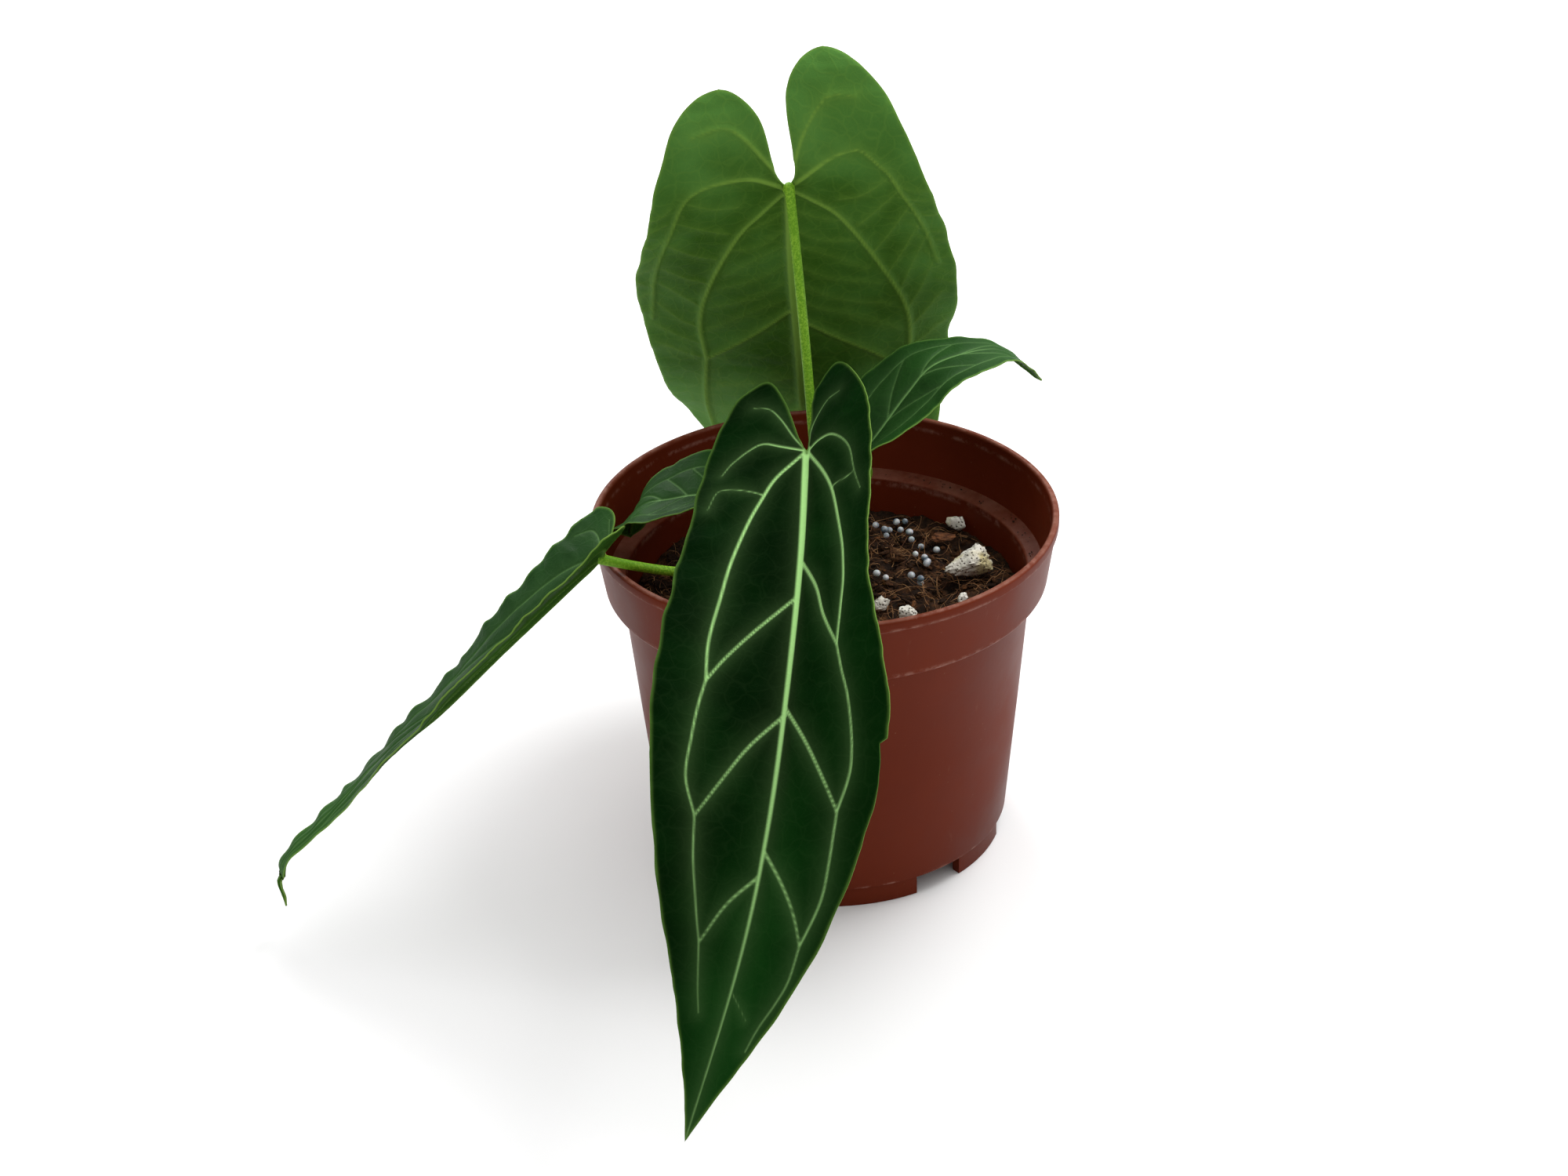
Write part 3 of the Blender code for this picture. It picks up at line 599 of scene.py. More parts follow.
def mix_finish(name, settings, lift=1.0):
    """Coir and bark: dark brown with lighter, redder bits."""
    made = Finish(name, 0.95, 0.2)
    place = made.coords()
    shade = made.attribute("shade")
    coarse = made.noise(place, 240.0, 4.0, 0.7)
    fine = made.noise(place, 1300.0, 3.0, 0.7)
    dark = tuple(c * lift for c in settings.dark)
    light = tuple(c * lift for c in settings.light)
    clumps, grit = made.remap(coarse, 0.38, 0.72), made.remap(fine, 0.3, 0.7, 0.25, 1.0)
    amount = made.maths("MULTIPLY", clumps, grit)
    amount = made.maths("MULTIPLY", amount, shade)
    made.use(made.mix(amount, dark, light), "Base Color")
    made.use(made.bump(made.maths("ADD", coarse, fine), 0.0006, 0.8), "Normal")
    return made.material


def fibre_finish():
    """Coir fibres: straw to reddish brown."""
    made = Finish("coir_fibre", 0.8, 0.3)
    colour = made.mix(made.attribute("shade"), (0.08, 0.024, 0.008), (0.50, 0.26, 0.11))
    made.use(colour, "Base Color")
    return made.material


def pumice_finish():
    """Pumice: off-white, pitted and stained, with painted shade in its pits."""
    made = Finish("pumice_stone", 0.95, 0.2)
    place = made.coords()
    coarse = made.noise(place, 150.0, 4.0, 0.65)
    pits = made.remap(made.cells(place, 1100.0), 0.12, 0.4)
    small = made.noise(place, 2200.0, 2.0, 0.7)
    colour = made.mix(made.remap(coarse, 0.35, 0.7), (0.90, 0.87, 0.78), (0.66, 0.63, 0.54))
    stains = made.remap(made.noise(place, 90.0, 2.0), 0.60, 0.74)
    colour = made.mix(stains, colour, (0.64, 0.56, 0.30))
    specks = made.maths("MULTIPLY", made.remap(small, 0.6, 0.72), 0.7)
    colour = made.mix(specks, colour, (0.10, 0.09, 0.07))
    # Painted shade: the pits darkened where shade falls in them.
    colour = made.mix(pits, (0.16, 0.14, 0.11), colour)
    made.use(colour, "Base Color")
    relief = made.bump(pits, 0.0004, 0.8)
    made.use(made.bump(coarse, 0.0012, 0.6, relief), "Normal")
    return made.material


def bark_finish():
    """Bark chips: orange to dark brown layers."""
    made = Finish("bark_chip", 0.9, 0.25)
    layers = made.noise(made.coords(scale=(1.0, 1.0, 5.0)), 500.0, 3.0, 0.7)
    shade = made.noise(made.coords(), 160.0, 2.0)
    colour = made.mix(made.remap(layers, 0.35, 0.7), (0.07, 0.025, 0.011), (0.27, 0.105, 0.04))
    colour = made.mix(made.remap(shade, 0.5, 0.7), colour, (0.04, 0.017, 0.009))
    made.use(colour, "Base Color")
    made.use(made.bump(layers, 0.0004, 0.8), "Normal")
    return made.material


def prill_finish():
    """Slow-release fertiliser beads: milky blue-grey resin."""
    made = Finish("fertiliser_bead", 0.35, 0.5)
    place = made.coords()
    cloudy = made.noise(place, 240.0, 2.0, 0.6)
    colour = made.mix(made.remap(cloudy, 0.35, 0.6), (0.12, 0.17, 0.22), (0.72, 0.76, 0.78))
    made.use(colour, "Base Color")
    made.set("Subsurface Weight", 0.2)
    made.set("Subsurface Scale", 0.001)
    return made.material


def dry_finish(name, dark, light, scale):
    """Dry plant skin: streaked between two colours along its height."""
    made = Finish(name, 0.8, 0.25)
    streaks = made.noise(made.coords(scale=(1.0, 1.0, 0.2)), scale, 3.0, 0.7)
    made.use(made.mix(made.remap(streaks, 0.35, 0.68), dark, light), "Base Color")
    made.use(made.bump(streaks, 0.0003, 0.8), "Normal")
    return made.material


def floor_finish():
    """The pale floor, very slightly uneven in tone."""
    made = Finish("pale_floor", 0.9, 0.1)
    tone = made.remap(made.noise(made.coords(), 3.0, 2.0), 0.3, 0.7)
    made.use(made.mix(tone, (0.86, 0.86, 0.86), (0.88, 0.88, 0.88)), "Base Color")
    return made.material


# ====================================================================== the pot

def turned(profile, steps):
    """A solid turned about Z from (radius, z) points that run from axis to axis."""
    bm = bmesh.new()
    ring = [bm.verts.new((radius * MM, 0.0, z * MM)) for radius, z in profile]
    edges = [bm.edges.new(pair) for pair in zip(ring[:-1], ring[1:])]
    bmesh.ops.spin(bm, geom=ring + edges, cent=(0, 0, 0), axis=(0, 0, 1),
                   angle=2 * math.pi, steps=steps, use_merge=True)
    bmesh.ops.remove_doubles(bm, verts=bm.verts, dist=0.002 * MM)
    bmesh.ops.dissolve_degenerate(bm, edges=bm.edges, dist=0.001 * MM)
    bmesh.ops.recalc_face_normals(bm, faces=bm.faces)
    if bm.calc_volume(signed=True) < 0:
        bmesh.ops.reverse_faces(bm, faces=bm.faces)
    return bm


def cut_away(obj, cutter):
    """Take the cutter's shape out of the object."""
    boolean = obj.modifiers.new("cut", "BOOLEAN")
    boolean.operation = "DIFFERENCE"
    boolean.solver = "EXACT"
    boolean.object = cutter
    settle(obj)
    bpy.data.objects.remove(cutter)


def rounded(points, radius=0.25, steps=3):
    """Round the corners of a section by a small radius."""
    known = [np.array(p, float) for p in points]
    found = [tuple(known[0])]
    for before, corner, after in zip(known[:-2], known[1:-1], known[2:]):
        back, ahead = before - corner, after - corner
        reach = min(radius, 0.45 * np.linalg.norm(back), 0.45 * np.linalg.norm(ahead))
        start = corner + back / np.linalg.norm(back) * reach
        end = corner + ahead / np.linalg.norm(ahead) * reach
        for f in np.linspace(0.0, 1.0, steps):
            found.append(tuple((1 - f) ** 2 * start + 2 * f * (1 - f) * corner + f ** 2 * end))
    found.append(tuple(known[-1]))
    return found


class ANTHURIUM_OT_pot(bpy.types.Operator):
    """Make the nursery pot with its lip, band, inner step, feet and drain holes"""

    bl_idname = "anthurium.pot"
    bl_label = "Nursery pot"

    def execute(self, context):
        settings = context.scene.anthurium_pot
        wall_foot = BODY_FOOT_RADIUS - WALL
        ledge_inner = BODY_TOP_RADIUS - WALL
        ledge_outer = BAND_FOOT_RADIUS - WALL + 0.2
        lip_z = POT_HEIGHT - LIP_HEIGHT
        section = [
            (0.0, POT_FLOOR_Z), (wall_foot - 1.0, POT_FLOOR_Z), (wall_foot, POT_FLOOR_Z + 1.0),
            (wall_foot + 3.2, 40.0), (ledge_inner, BAND_FOOT_Z + 1.4),
            (ledge_inner + 0.4, BAND_FOOT_Z + 1.8), (ledge_outer, BAND_FOOT_Z + 2.6),
            (RIM_RADIUS - 1.9, POT_HEIGHT - 0.6), (RIM_RADIUS - 1.4, POT_HEIGHT),
            (RIM_RADIUS - 0.45, POT_HEIGHT), (RIM_RADIUS, POT_HEIGHT - 0.5),
            (RIM_RADIUS - 0.1, lip_z), (BAND_TOP_RADIUS, lip_z - 0.3),
            (BAND_FOOT_RADIUS + 0.05, BAND_FOOT_Z + 0.8), (BAND_FOOT_RADIUS - 0.5, BAND_FOOT_Z),
            (BODY_TOP_RADIUS, BAND_FOOT_Z), (BODY_TOP_RADIUS - 3.2, 40.0),
            (BODY_FOOT_RADIUS, BODY_FOOT_Z),
            (FOOT_RADIUS, BODY_FOOT_Z), (FOOT_RADIUS, 0.0), (FOOT_RADIUS - FOOT_THICKNESS, 0.0),
            (FOOT_RADIUS - FOOT_THICKNESS, POT_UNDER_Z), (0.0, POT_UNDER_Z),
        ]
        pot = object_from(turned(rounded(section), settings.steps), "nursery_pot_shell")
        gaps = bmesh.new()
        holes = bmesh.new()
        gap_width = 2 * FOOT_RADIUS * math.sin(math.radians(FOOT_GAP_ANGLE / 2))
        gap_height = POT_UNDER_Z - 0.15
        for i in range(FOOT_COUNT):
            turn = Matrix.Rotation(math.radians(FIRST_GAP_AT + i * 360.0 / FOOT_COUNT), 4, "Z")
            place = turn @ Matrix.Translation((FOOT_RADIUS * MM, 0.0, (gap_height - 2.0) / 2 * MM))
            size = Matrix.Diagonal((7 * MM, gap_width * MM, (gap_height + 2.0) * MM, 1.0))
            bmesh.ops.create_cube(gaps, size=1.0, matrix=place @ size)
            hole = turn @ Matrix.Translation((DRAIN_HOLE_RING * MM, 0.0, POT_UNDER_Z * MM))
            bmesh.ops.create_cone(holes, cap_ends=True, segments=32, depth=8 * MM, matrix=hole,
                                  radius1=DRAIN_HOLE_RADIUS * MM, radius2=DRAIN_HOLE_RADIUS * MM)
        cut_away(pot, object_from(gaps, "foot_gaps"))
        cut_away(pot, object_from(holes, "drain_holes"))
        pot.data.transform(Matrix.Translation(AXIS))
        finish_piece(pot, [plastic_finish(settings)], ["nursery_pot"], 35)
        return {"FINISHED"}


# ====================================================================== the mix

def mix_height(x, y):
    """Height of the mix's surface: the coarse humps."""
    calm = min(1.0, math.hypot(x, y) / 20.0)
    return MIX_TOP_Z + 1.1 * calm * noise.noise(Vector((x, y, 0.0)) / 11.0)


def crumbly_height(x, y):
    """The coarse humps with crumbs and hollows on them."""
    z = mix_height(x, y) - 0.5
    z += 1.3 * noise.noise(Vector((x, y, 3.0)) / 4.2)
    z += 0.9 * abs(noise.noise(Vector((x, y, 7.0)) / 1.9)) - 0.3
    z += 0.4 * noise.noise(Vector((x, y, 11.0)) / 0.9)
    return z


def add_shade(obj, values):
    """Store a shade from 0 to 1 at each vertex."""
    layer = obj.data.attributes.new("shade", "FLOAT", "POINT")
    layer.data.foreach_set("value", values)


class ANTHURIUM_OT_mix(bpy.types.Operator):
    """Make the potting mix with its crumbs and coir fibres"""

    bl_idname = "anthurium.mix"
    bl_label = "Potting mix"

    def execute(self, context):
        settings = context.scene.anthurium_mix
        self.make_body(settings)
        self.make_crumbs(settings)
        self.make_fibres(settings)
        return {"FINISHED"}

    def make_body(self, settings):
        """The body of the mix, with a finely broken surface."""
        slope = (BODY_TOP_RADIUS - BODY_FOOT_RADIUS) / (BAND_FOOT_Z - BODY_FOOT_Z)
        foot_z = POT_FLOOR_Z + 0.4
        foot_radius = BODY_FOOT_RADIUS - WALL - 1.1
        rings = [(r, MIX_TOP_Z) for r in np.linspace(0.0, MIX_RADIUS - 0.3, MIX_RINGS)]
        top_radius = foot_radius + slope * (MIX_TOP_Z - foot_z)
        section = rings + [(top_radius, MIX_TOP_Z - 1.5), (foot_radius, foot_z), (0.0, foot_z)]
        bm = turned(section, MIX_STEPS)
        shades = []
        for vert in bm.verts:
            x, y = vert.co.x / MM, vert.co.y / MM
            if vert.co.z > (MIX_TOP_Z - 0.5) * MM:
                vert.co.z = crumbly_height(x, y) * MM
            shades.append(0.35 + 0.9 * noise.noise(Vector((x, y, 1.0)) / 2.4))
        shades = np.clip(shades, 0.0, 1.0)
        mix = object_from(bm, "mix_body")
        add_shade(mix, shades)
        mix.data.transform(Matrix.Translation(AXIS))
        finish_piece(mix, [mix_finish("potting_mix", settings)], ["potting_mix"], 80)

    def make_crumbs(self, settings):
        """Loose crumbs of coir and bark lying on the mix, and a few on the inner step."""
        chance = random.Random(11)
        bm = bmesh.new()
        shade = bm.verts.layers.float.new("shade")
        for number in range(settings.crumbs):
            on_step = number % 26 == 0
            if on_step:
                turn = math.radians(chance.uniform(-20, 75))
                radius = chance.uniform(LEDGE_FROM, LEDGE_TO)
                size = chance.uniform(0.25, 0.7)
            else:
                turn = chance.uniform(0, 2 * math.pi)
                radius = CRUMB_REACH * math.sqrt(chance.random())
                size = chance.uniform(0.5, 1.0) ** 3 * 2.6 + 0.3
            x, y = radius * math.cos(turn), radius * math.sin(turn)
            if math.hypot(x, y) < STEM_RADIUS + 2.0:
                continue
            z = crumbly_height(x, y) + 0.25 * size
            if on_step:
                z = LEDGE_Z + 0.25 + 0.2 * (radius - 52)
            flat = Matrix.Diagonal((size * chance.uniform(0.6, 1.7),
                                    size * chance.uniform(0.4, 1.0),
                                    size * chance.uniform(0.3, 0.7), 1.0))
            tilt = Matrix.Rotation(chance.uniform(-0.6, 0.6), 4, "X")
            spin = Matrix.Rotation(chance.uniform(0, 6.28), 4, "Z")
            place = Matrix.Translation(in_frame((x, y, z))) @ spin @ tilt @ Matrix.Scale(MM, 4)
            made = bmesh.ops.create_icosphere(bm, subdivisions=1, radius=0.5)["verts"]
            tone = chance.random() ** 1.6
            for vert in made:
                vert.co *= chance.uniform(0.75, 1.2)
                vert[shade] = tone
            bmesh.ops.transform(bm, matrix=place @ flat, verts=made)
        crumbs = object_from(bm, "mix_crumbs")
        finish_piece(crumbs, [mix_finish("mix_crumbs", settings, 1.5)], (), 30)

    def make_fibres(self, settings):
        """Coir fibres and fine rootlets, lying and arching over the mix."""
        chance = random.Random(5)
        routes = []
        for number in range(settings.fibres):
            turn, radius = chance.uniform(0, 2 * math.pi), FIBRE_REACH * math.sqrt(chance.random())
            x, y = radius * math.cos(turn), radius * math.sin(turn)
            heading, bend = chance.uniform(0, 2 * math.pi), chance.uniform(-0.5, 0.5)
            step = chance.uniform(0.6, 2.2)
            arch = chance.uniform(0.0, 1.2) if number % 5 else chance.uniform(1.0, 3.5)
            thick = chance.uniform(0.05, 0.13)
            route = []
            for i in range(FIBRE_POINTS):
                if not STEM_RADIUS + 2.5 <= math.hypot(x, y) <= FIBRE_LIMIT:
                    break
                rise = arch * math.sin(math.pi * i / (FIBRE_POINTS - 1))
                route.append((x, y, crumbly_height(x, y) + 0.15 + rise))
                heading += bend * chance.uniform(0.2, 1.2)
                x += step * math.cos(heading)
                y += step * math.sin(heading)
            if len(route) < 4:
                continue
            points = through(route, 3 * len(route))
            taper = 1.0 - 0.6 * np.arange(len(points)) / len(points)
            routes.append((points, thick * taper))
        fibres = bars("coir_fibres", routes, 0)
        places = np.empty(len(fibres.data.vertices) * 3)
        fibres.data.vertices.foreach_get("co", places)
        places = places.reshape(-1, 3)
        add_shade(fibres, 0.5 + 0.5 * np.sin(places[:, 0] * 900.0) * np.cos(places[:, 1] * 700.0))
        finish_piece(fibres, [fibre_finish()], (), 60)


def lump(bm, low, high, seed, subdivisions, rough, wedge=None):
    """A broken, flat-sided lump that fills a box; a wedge is long and thin across its angle."""
    made = bmesh.ops.create_icosphere(bm, subdivisions=subdivisions, radius=0.5)["verts"]
    chance = random.Random(seed)
    planes = []
    for _ in range(9):
        tilt = Vector((chance.gauss(0, 1), chance.gauss(0, 1), chance.gauss(0, 1))).normalized()
        planes.append((tilt, chance.uniform(0.3, 0.44)))
    for vert in made:
        vert.co *= 1.0 + 0.35 * noise.noise(vert.co * 3.0 + Vector((seed * 7.0, 0, 0)))
        for tilt, reach in planes:
            over = vert.co.dot(tilt) - reach
            if over > 0:
                vert.co -= tilt * over * 0.85
        vert.co *= 1.0 + rough * noise.noise(vert.co * 9.0 + Vector((seed, 3, 0)))
        vert.co *= 1.0 + 0.5 * rough * noise.noise(vert.co * 24.0 + Vector((seed, 5, 0)))
    if wedge is not None:
        along = Vector((math.cos(wedge), math.sin(wedge), 0.0))
        across = Vector((-along.y, along.x, 0.0))
        for vert in made:
            far, side = vert.co.dot(along), vert.co.dot(across)
            width = 0.6 + 0.2 * far
            rise = Vector((0, 0, vert.co.z * (0.9 + 0.4 * far)))
            vert.co = along * far + across * side * width + rise
    span_low = Vector([min(v.co[k] for v in made) for k in range(3)])
    span_high = Vector([max(v.co[k] for v in made) for k in range(3)])
    middle = (span_low + span_high) / 2
    size = Vector([(high[k] - low[k]) / (span_high[k] - span_low[k]) for k in range(3)])
    place = (Matrix.Translation((low + high) / 2) @ Matrix.Diagonal((*size, 1.0))
             @ Matrix.Translation(-middle))
    bmesh.ops.transform(bm, matrix=place, verts=made)


class ANTHURIUM_OT_loose_pieces(bpy.types.Operator):
    """Make the pumice, the bark chips and the fertiliser beads on the mix"""

    bl_idname = "anthurium.loose_pieces"
    bl_label = "Pieces on the mix"

    def execute(self, context):
        pumice = pumice_finish()
        for number, name in enumerate(node_names("pumice_")):
            low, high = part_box(name)
            bm = bmesh.new()
            large = high.x - low.x > 0.009
            wedge = WEDGE_TURN if large else None
            lump(bm, low, high, number + 3, 5 if large else 4, 0.10, wedge)
            finish_piece(object_from(bm, "stone_" + name), [pumice], [name], 50)
        bark = bark_finish()
        for number, name in enumerate(node_names("bark_chip_")):
            low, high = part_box(name)
            bm = bmesh.new()
            lump(bm, low, high, number + 40, 4, 0.16)
            finish_piece(object_from(bm, "split_" + name), [bark], [name], 30)
        self.make_beads()
        return {"FINISHED"}

    def make_beads(self):
        """The fertiliser beads, each a little out of round, with a few more beside them."""
        chance = random.Random(21)
        bm = bmesh.new()
        names = node_names("fertiliser_prill_")
        for number, name in enumerate(names):
            low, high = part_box(name)
            middle = (low + high) / 2
            radius = (high.x - low.x) / 2
            places = [middle]
            if number % 3 == 0:
                turn = chance.uniform(0, 2 * math.pi)
                x = (middle.x - AXIS.x) / MM + BEAD_NEIGHBOUR * math.cos(turn)
                y = (middle.y - AXIS.y) / MM + BEAD_NEIGHBOUR * math.sin(turn)
                places.append(in_frame((x, y, crumbly_height(x, y) + 0.9)))
            for place in places:
                size = radius * chance.uniform(0.74, 0.96)
                stretch = Matrix.Diagonal((size * chance.uniform(0.94, 1.06), size,
                                           size * chance.uniform(0.9, 1.0), 1.0))
                bmesh.ops.create_icosphere(bm, subdivisions=3, radius=1.0,
                                           matrix=Matrix.Translation(place) @ stretch)
        beads = object_from(bm, "fertiliser_beads")
        finish_piece(beads, [prill_finish()], names, 80)


# ==================================================================== the plant

class Blade:
    """One leaf blade: a flat outline laid along a midrib in space."""

    def __init__(self, spec):
        self.spec = spec
        self.line = through(spec["midrib"], 161)
        steps = np.linalg.norm(np.diff(self.line, axis=0), axis=1)
        self.along = np.concatenate([[0.0], np.cumsum(steps)])
        self.length = self.along[-1]
        slopes = np.gradient(self.line, self.along, axis=0)
        self.slopes = slopes / np.linalg.norm(slopes, axis=1)[:, None]

    def frame(self, u):
        """Points, directions, sides and upper normals of the midrib at distances u."""
        near = np.clip(u, 0.0, self.length)
        point = np.stack([np.interp(near, self.along, self.line[:, k]) for k in range(3)], -1)
        ahead = np.stack([np.interp(near, self.along, self.slopes[:, k]) for k in range(3)], -1)
        ahead /= np.linalg.norm(ahead, axis=-1, keepdims=True)
        level = np.cross(ahead, [0.0, 0.0, 1.0])
        level /= np.linalg.norm(level, axis=-1, keepdims=True)
        up = np.cross(level, ahead)
        roll = np.radians(at_fraction(self.spec["roll"], near / self.length))[..., None]
        side = level * np.cos(roll) + up * np.sin(roll)
        return point, ahead, side, np.cross(side, ahead)

    def place(self, u, v, lift):
        """Points in space of flat points (u, v), raised by lift from the blade."""
        point, ahead, side, up = self.frame(u)
        back = np.maximum(-u, 0.0)[:, None]
        bend = math.radians(self.spec.get("curl", 0)) / 10.0 or 1e-6
        point = point - ahead * np.sin(bend * back) / bend + up * (1 - np.cos(bend * back)) / bend
        up_bent = up * np.cos(bend * back) + ahead * np.sin(bend * back)
        fraction = np.maximum(u, 0.0) / self.length
        folds = [np.radians(at_fraction(angles, fraction)) for angles in self.spec["fold"]]
        blend = 0.5 + 0.5 * np.tanh(v / 1.2)
        fold = (folds[0] * blend + folds[1] * (1 - blend))[:, None]
        wide = v[:, None]
        soft = np.sqrt(wide ** 2 + 0.25) - 0.5
        leaning = side * np.sign(wide) * np.sin(fold) * np.minimum(1, abs(wide))
        normal = up_bent * np.cos(fold) - leaning
        flat = point + side * wide * np.cos(fold) + up * soft * np.sin(fold)
        return flat + normal * lift[:, None]

    def edges(self, half, steps):
        """The flat inner and outer edges of one half, from the tip to the lobe's crown."""
        widths = self.spec["half_widths"][half]
        lobe = self.spec["lobes"][half]
        round_it = [(self.length, 0.0)]
        round_it += [(f * self.length, w) for f, w in zip(STATIONS, widths)]
        round_it += [(-u, v) for u, v in lobe] + [(0.0, 0.0)]
        smooth = through(round_it, PER_SPAN * (len(round_it) - 1) + 1)
        crown = PER_SPAN * (len(STATIONS) + 2)
        picks = np.linspace(0, crown, steps)
        outer = smooth[np.round(picks).astype(int)]
        flank = smooth[:crown - 1:-1]
        lobe_steps = max(4, steps // 4)
        rib = [(u, 0.0) for u in np.linspace(self.length, 0.0, steps - lobe_steps)]
        picks = np.linspace(0, len(flank) - 1, lobe_steps + 1)[1:]
        inner = rib + [tuple(flank[int(round(k))]) for k in picks]
        return np.array(inner), outer


def nearest(lines, u, v):
    """How deep in a line flat points are, and how far from its side (below zero inside)."""
    strength = np.zeros(len(u))
    distance = np.full(len(u), 60.0)
    for points, first, last in lines:
        line = through(points, 6 * (len(points) - 1) + 1)
        half = np.linspace(first, last, len(line)) * DRAWN_HALF
        for a, b, wide_a, wide_b in zip(line[:-1], line[1:], half[:-1], half[1:]):
            run = b - a
            f = np.clip(((u - a[0]) * run[0] + (v - a[1]) * run[1]) / run.dot(run), 0.0, 1.0)
            away = np.hypot(u - a[0] - f * run[0], v - a[1] - f * run[1])
            wide = wide_a + f * (wide_b - wide_a)
            full = np.minimum(1.0, wide / 0.2)
            strength = np.maximum(strength, full * np.exp(-(away / (wide + 0.22)) ** 2))
            distance = np.minimum(distance, away - wide)
    return strength, distance


def rungs(table):
    """Cross veins that join two lines at even steps, each bent a little."""
    veins = []
    for first, second, count, width in table:
        starts, ends = through(first, count), through(second, count)
        for number, (a, b) in enumerate(zip(starts, ends)):
            sag = 1.2 + 1.3 * math.sin(number * 2.3 + count)
            middle = a * 0.55 + b * 0.45 + np.array([sag, 0.0])
            b = b + np.array([1.6 * math.sin(number * 4.1 + count), 0.0])
            veins.append(([tuple(a), tuple(middle), tuple(b)], width, width * 0.3))
    return veins


def plain_veins(blade):
    """The usual veins of a small blade: two collecting veins, branches and basal veins."""
    veins = []
    length = blade.length
    for half, sign in ((0, 1.0), (1, -1.0)):
        widths = blade.spec["half_widths"][half]
        at = dict(zip(STATIONS, widths))
        lobe = blade.spec["lobes"][half]
        collect = [(0.0, 0.0), (0.1 * length, at[0.1] * 0.42), (0.25 * length, at[0.25] * 0.6),
                   (0.42 * length, at[0.42] * 0.66), (0.6 * length, at[0.6] * 0.62),
                   (0.78 * length, at[0.78] * 0.55), (0.9 * length, at[0.93] * 0.5)]
        veins.append(([(u, sign * v) for u, v in collect], 0.45, 0.1))
        for start, end in ((0.2, 0.42), (0.4, 0.6), (0.58, 0.78)):
            reach = at[end] * (0.66 if end < 0.5 else 0.62 if end < 0.7 else 0.55)
            veins.append(([(start * length, 0.0), ((start + end) / 2 * length, sign * reach * 0.55),
                           (end * length, sign * reach)], 0.45, 0.3))
        shoulder = lobe[0]
        veins.append(([(0.0, 0.0), (-0.35 * shoulder[0], sign * shoulder[1] * 0.35),
                       (-0.3 * shoulder[0], sign * shoulder[1] * 0.65),
                       (0.4 * shoulder[0], sign * shoulder[1] * 0.85)], 0.45, 0.1))
        veins.append(([(0.0, 0.0), (-lobe[3][0], sign * (lobe[3][1] + 0.8)),
                       (-0.8 * lobe[1][0], sign * lobe[1][1] * 0.75)], 0.3, 0.05))
    return veins


def flat_blade(name, blade):
    """A blade drawn flat, as two grids that meet at the midrib, and the lines of its margins."""
    spec, rows = blade.spec, blade.spec["rows"]
    wave_height, wave_length = spec["wave"]
    bm = bmesh.new()
    margins = []
    for half, sign in ((0, 1.0), (1, -1.0)):
        inner, outer = blade.edges(half, rows + 1)
        bumps = [noise.noise(Vector((u * 1.1 / wave_length, half * 9.0, 4.0))) for u in outer[:, 0]]
        outer[:, 1] *= 1.0 + 0.14 * wave_height * np.array(bumps)
        nick = np.zeros(rows + 1)
        if "nick" in spec and sign * spec["nick"][1] > 0:
            past = outer[:, 0] - spec["nick"][0]
            nick = np.where(past > 0, 2.0 * np.exp(-past / 7.0), 0.0)
        for line in (outer * (1.0, sign), inner[int(rows * 0.75):] * (1.0, sign)):
            margins.append(([tuple(p) for p in line[::6]] + [tuple(line[-1])], 0.0, 0.0))
        grid = bmesh.ops.create_grid(bm, x_segments=rows, y_segments=spec["columns"], size=0.5)
        for vert in grid["verts"]:
            row = int(round((vert.co.x + 0.5) * rows))
            across = vert.co.y + 0.5
            flat = inner[row] * (1.0 - across) + outer[row] * across
            wide = flat[1] - nick[row] * across ** 8
            vert.co = (flat[0], sign * max(wide, 0.0), 0.0)
    bmesh.ops.remove_doubles(bm, verts=bm.verts, dist=0.01)
    bmesh.ops.dissolve_degenerate(bm, edges=bm.edges, dist=0.01)
    for face in bm.faces:
        face.normal_update()
    turned_over = [face for face in bm.faces if face.normal.z > 0]
    bmesh.ops.reverse_faces(bm, faces=turned_over)
    flat_map = bm.loops.layers.uv.new("flat")
    for face in bm.faces:
        for loop in face.loops:
            loop[flat_map].uv = (loop.vert.co.y / UV_UNIT + 0.5, loop.vert.co.x / UV_UNIT)
    return object_from(bm, f"blade_{name}"), margins


def pale_and_lit_parts(name, length, u, v):
    """Where a blade is paler: the back one's lobes, flanks and tip; painted light on the others'
    lower middle and on the front one's right half.
    """
    if name == "back":
        pale = 0.50 * np.clip((-u - 2) / 18, 0, 1) + 0.9 * np.clip((u - 72) / 30, 0, 1)
        flanks = np.clip((np.abs(v) - 26) / 12, 0, 1) * np.clip((u + 20) / 20, 0, 1)
        return pale + 0.35 * flanks
    # Painted light: the lower middle of the blade made paler, as lit.
    pale = 0.8 * np.clip((u - 0.5 * length) / (0.3 * length), 0, 1)
    pale *= np.exp(-(np.abs(v) / 12.0) ** 2)
    if name == "front":
        # Painted light: the front blade's right half made a little paler, as lit from the right.
        pale += 0.25 * np.clip(-(v + 1.0) / 3.0, 0, 1)
    return pale


def thicken(obj, thick, thickness):
    """Give a blade its under side and rim, thick where thick (from 0 to 1) says so."""
    group = obj.vertex_groups.new(name="thickness")
    for step in range(51):
        chosen = np.nonzero(np.round(np.clip(thick, 0, 1) * 50).astype(int) == step)[0]
        if len(chosen):
            group.add([int(i) for i in chosen], step / 50.0, "REPLACE")
    skin = obj.modifiers.new("thickness", "SOLIDIFY")
    skin.thickness = thickness / BLADE_EDGE
    skin.offset = -1.0
    skin.vertex_group = "thickness"
    skin.material_offset = 1
    skin.material_offset_rim = 1


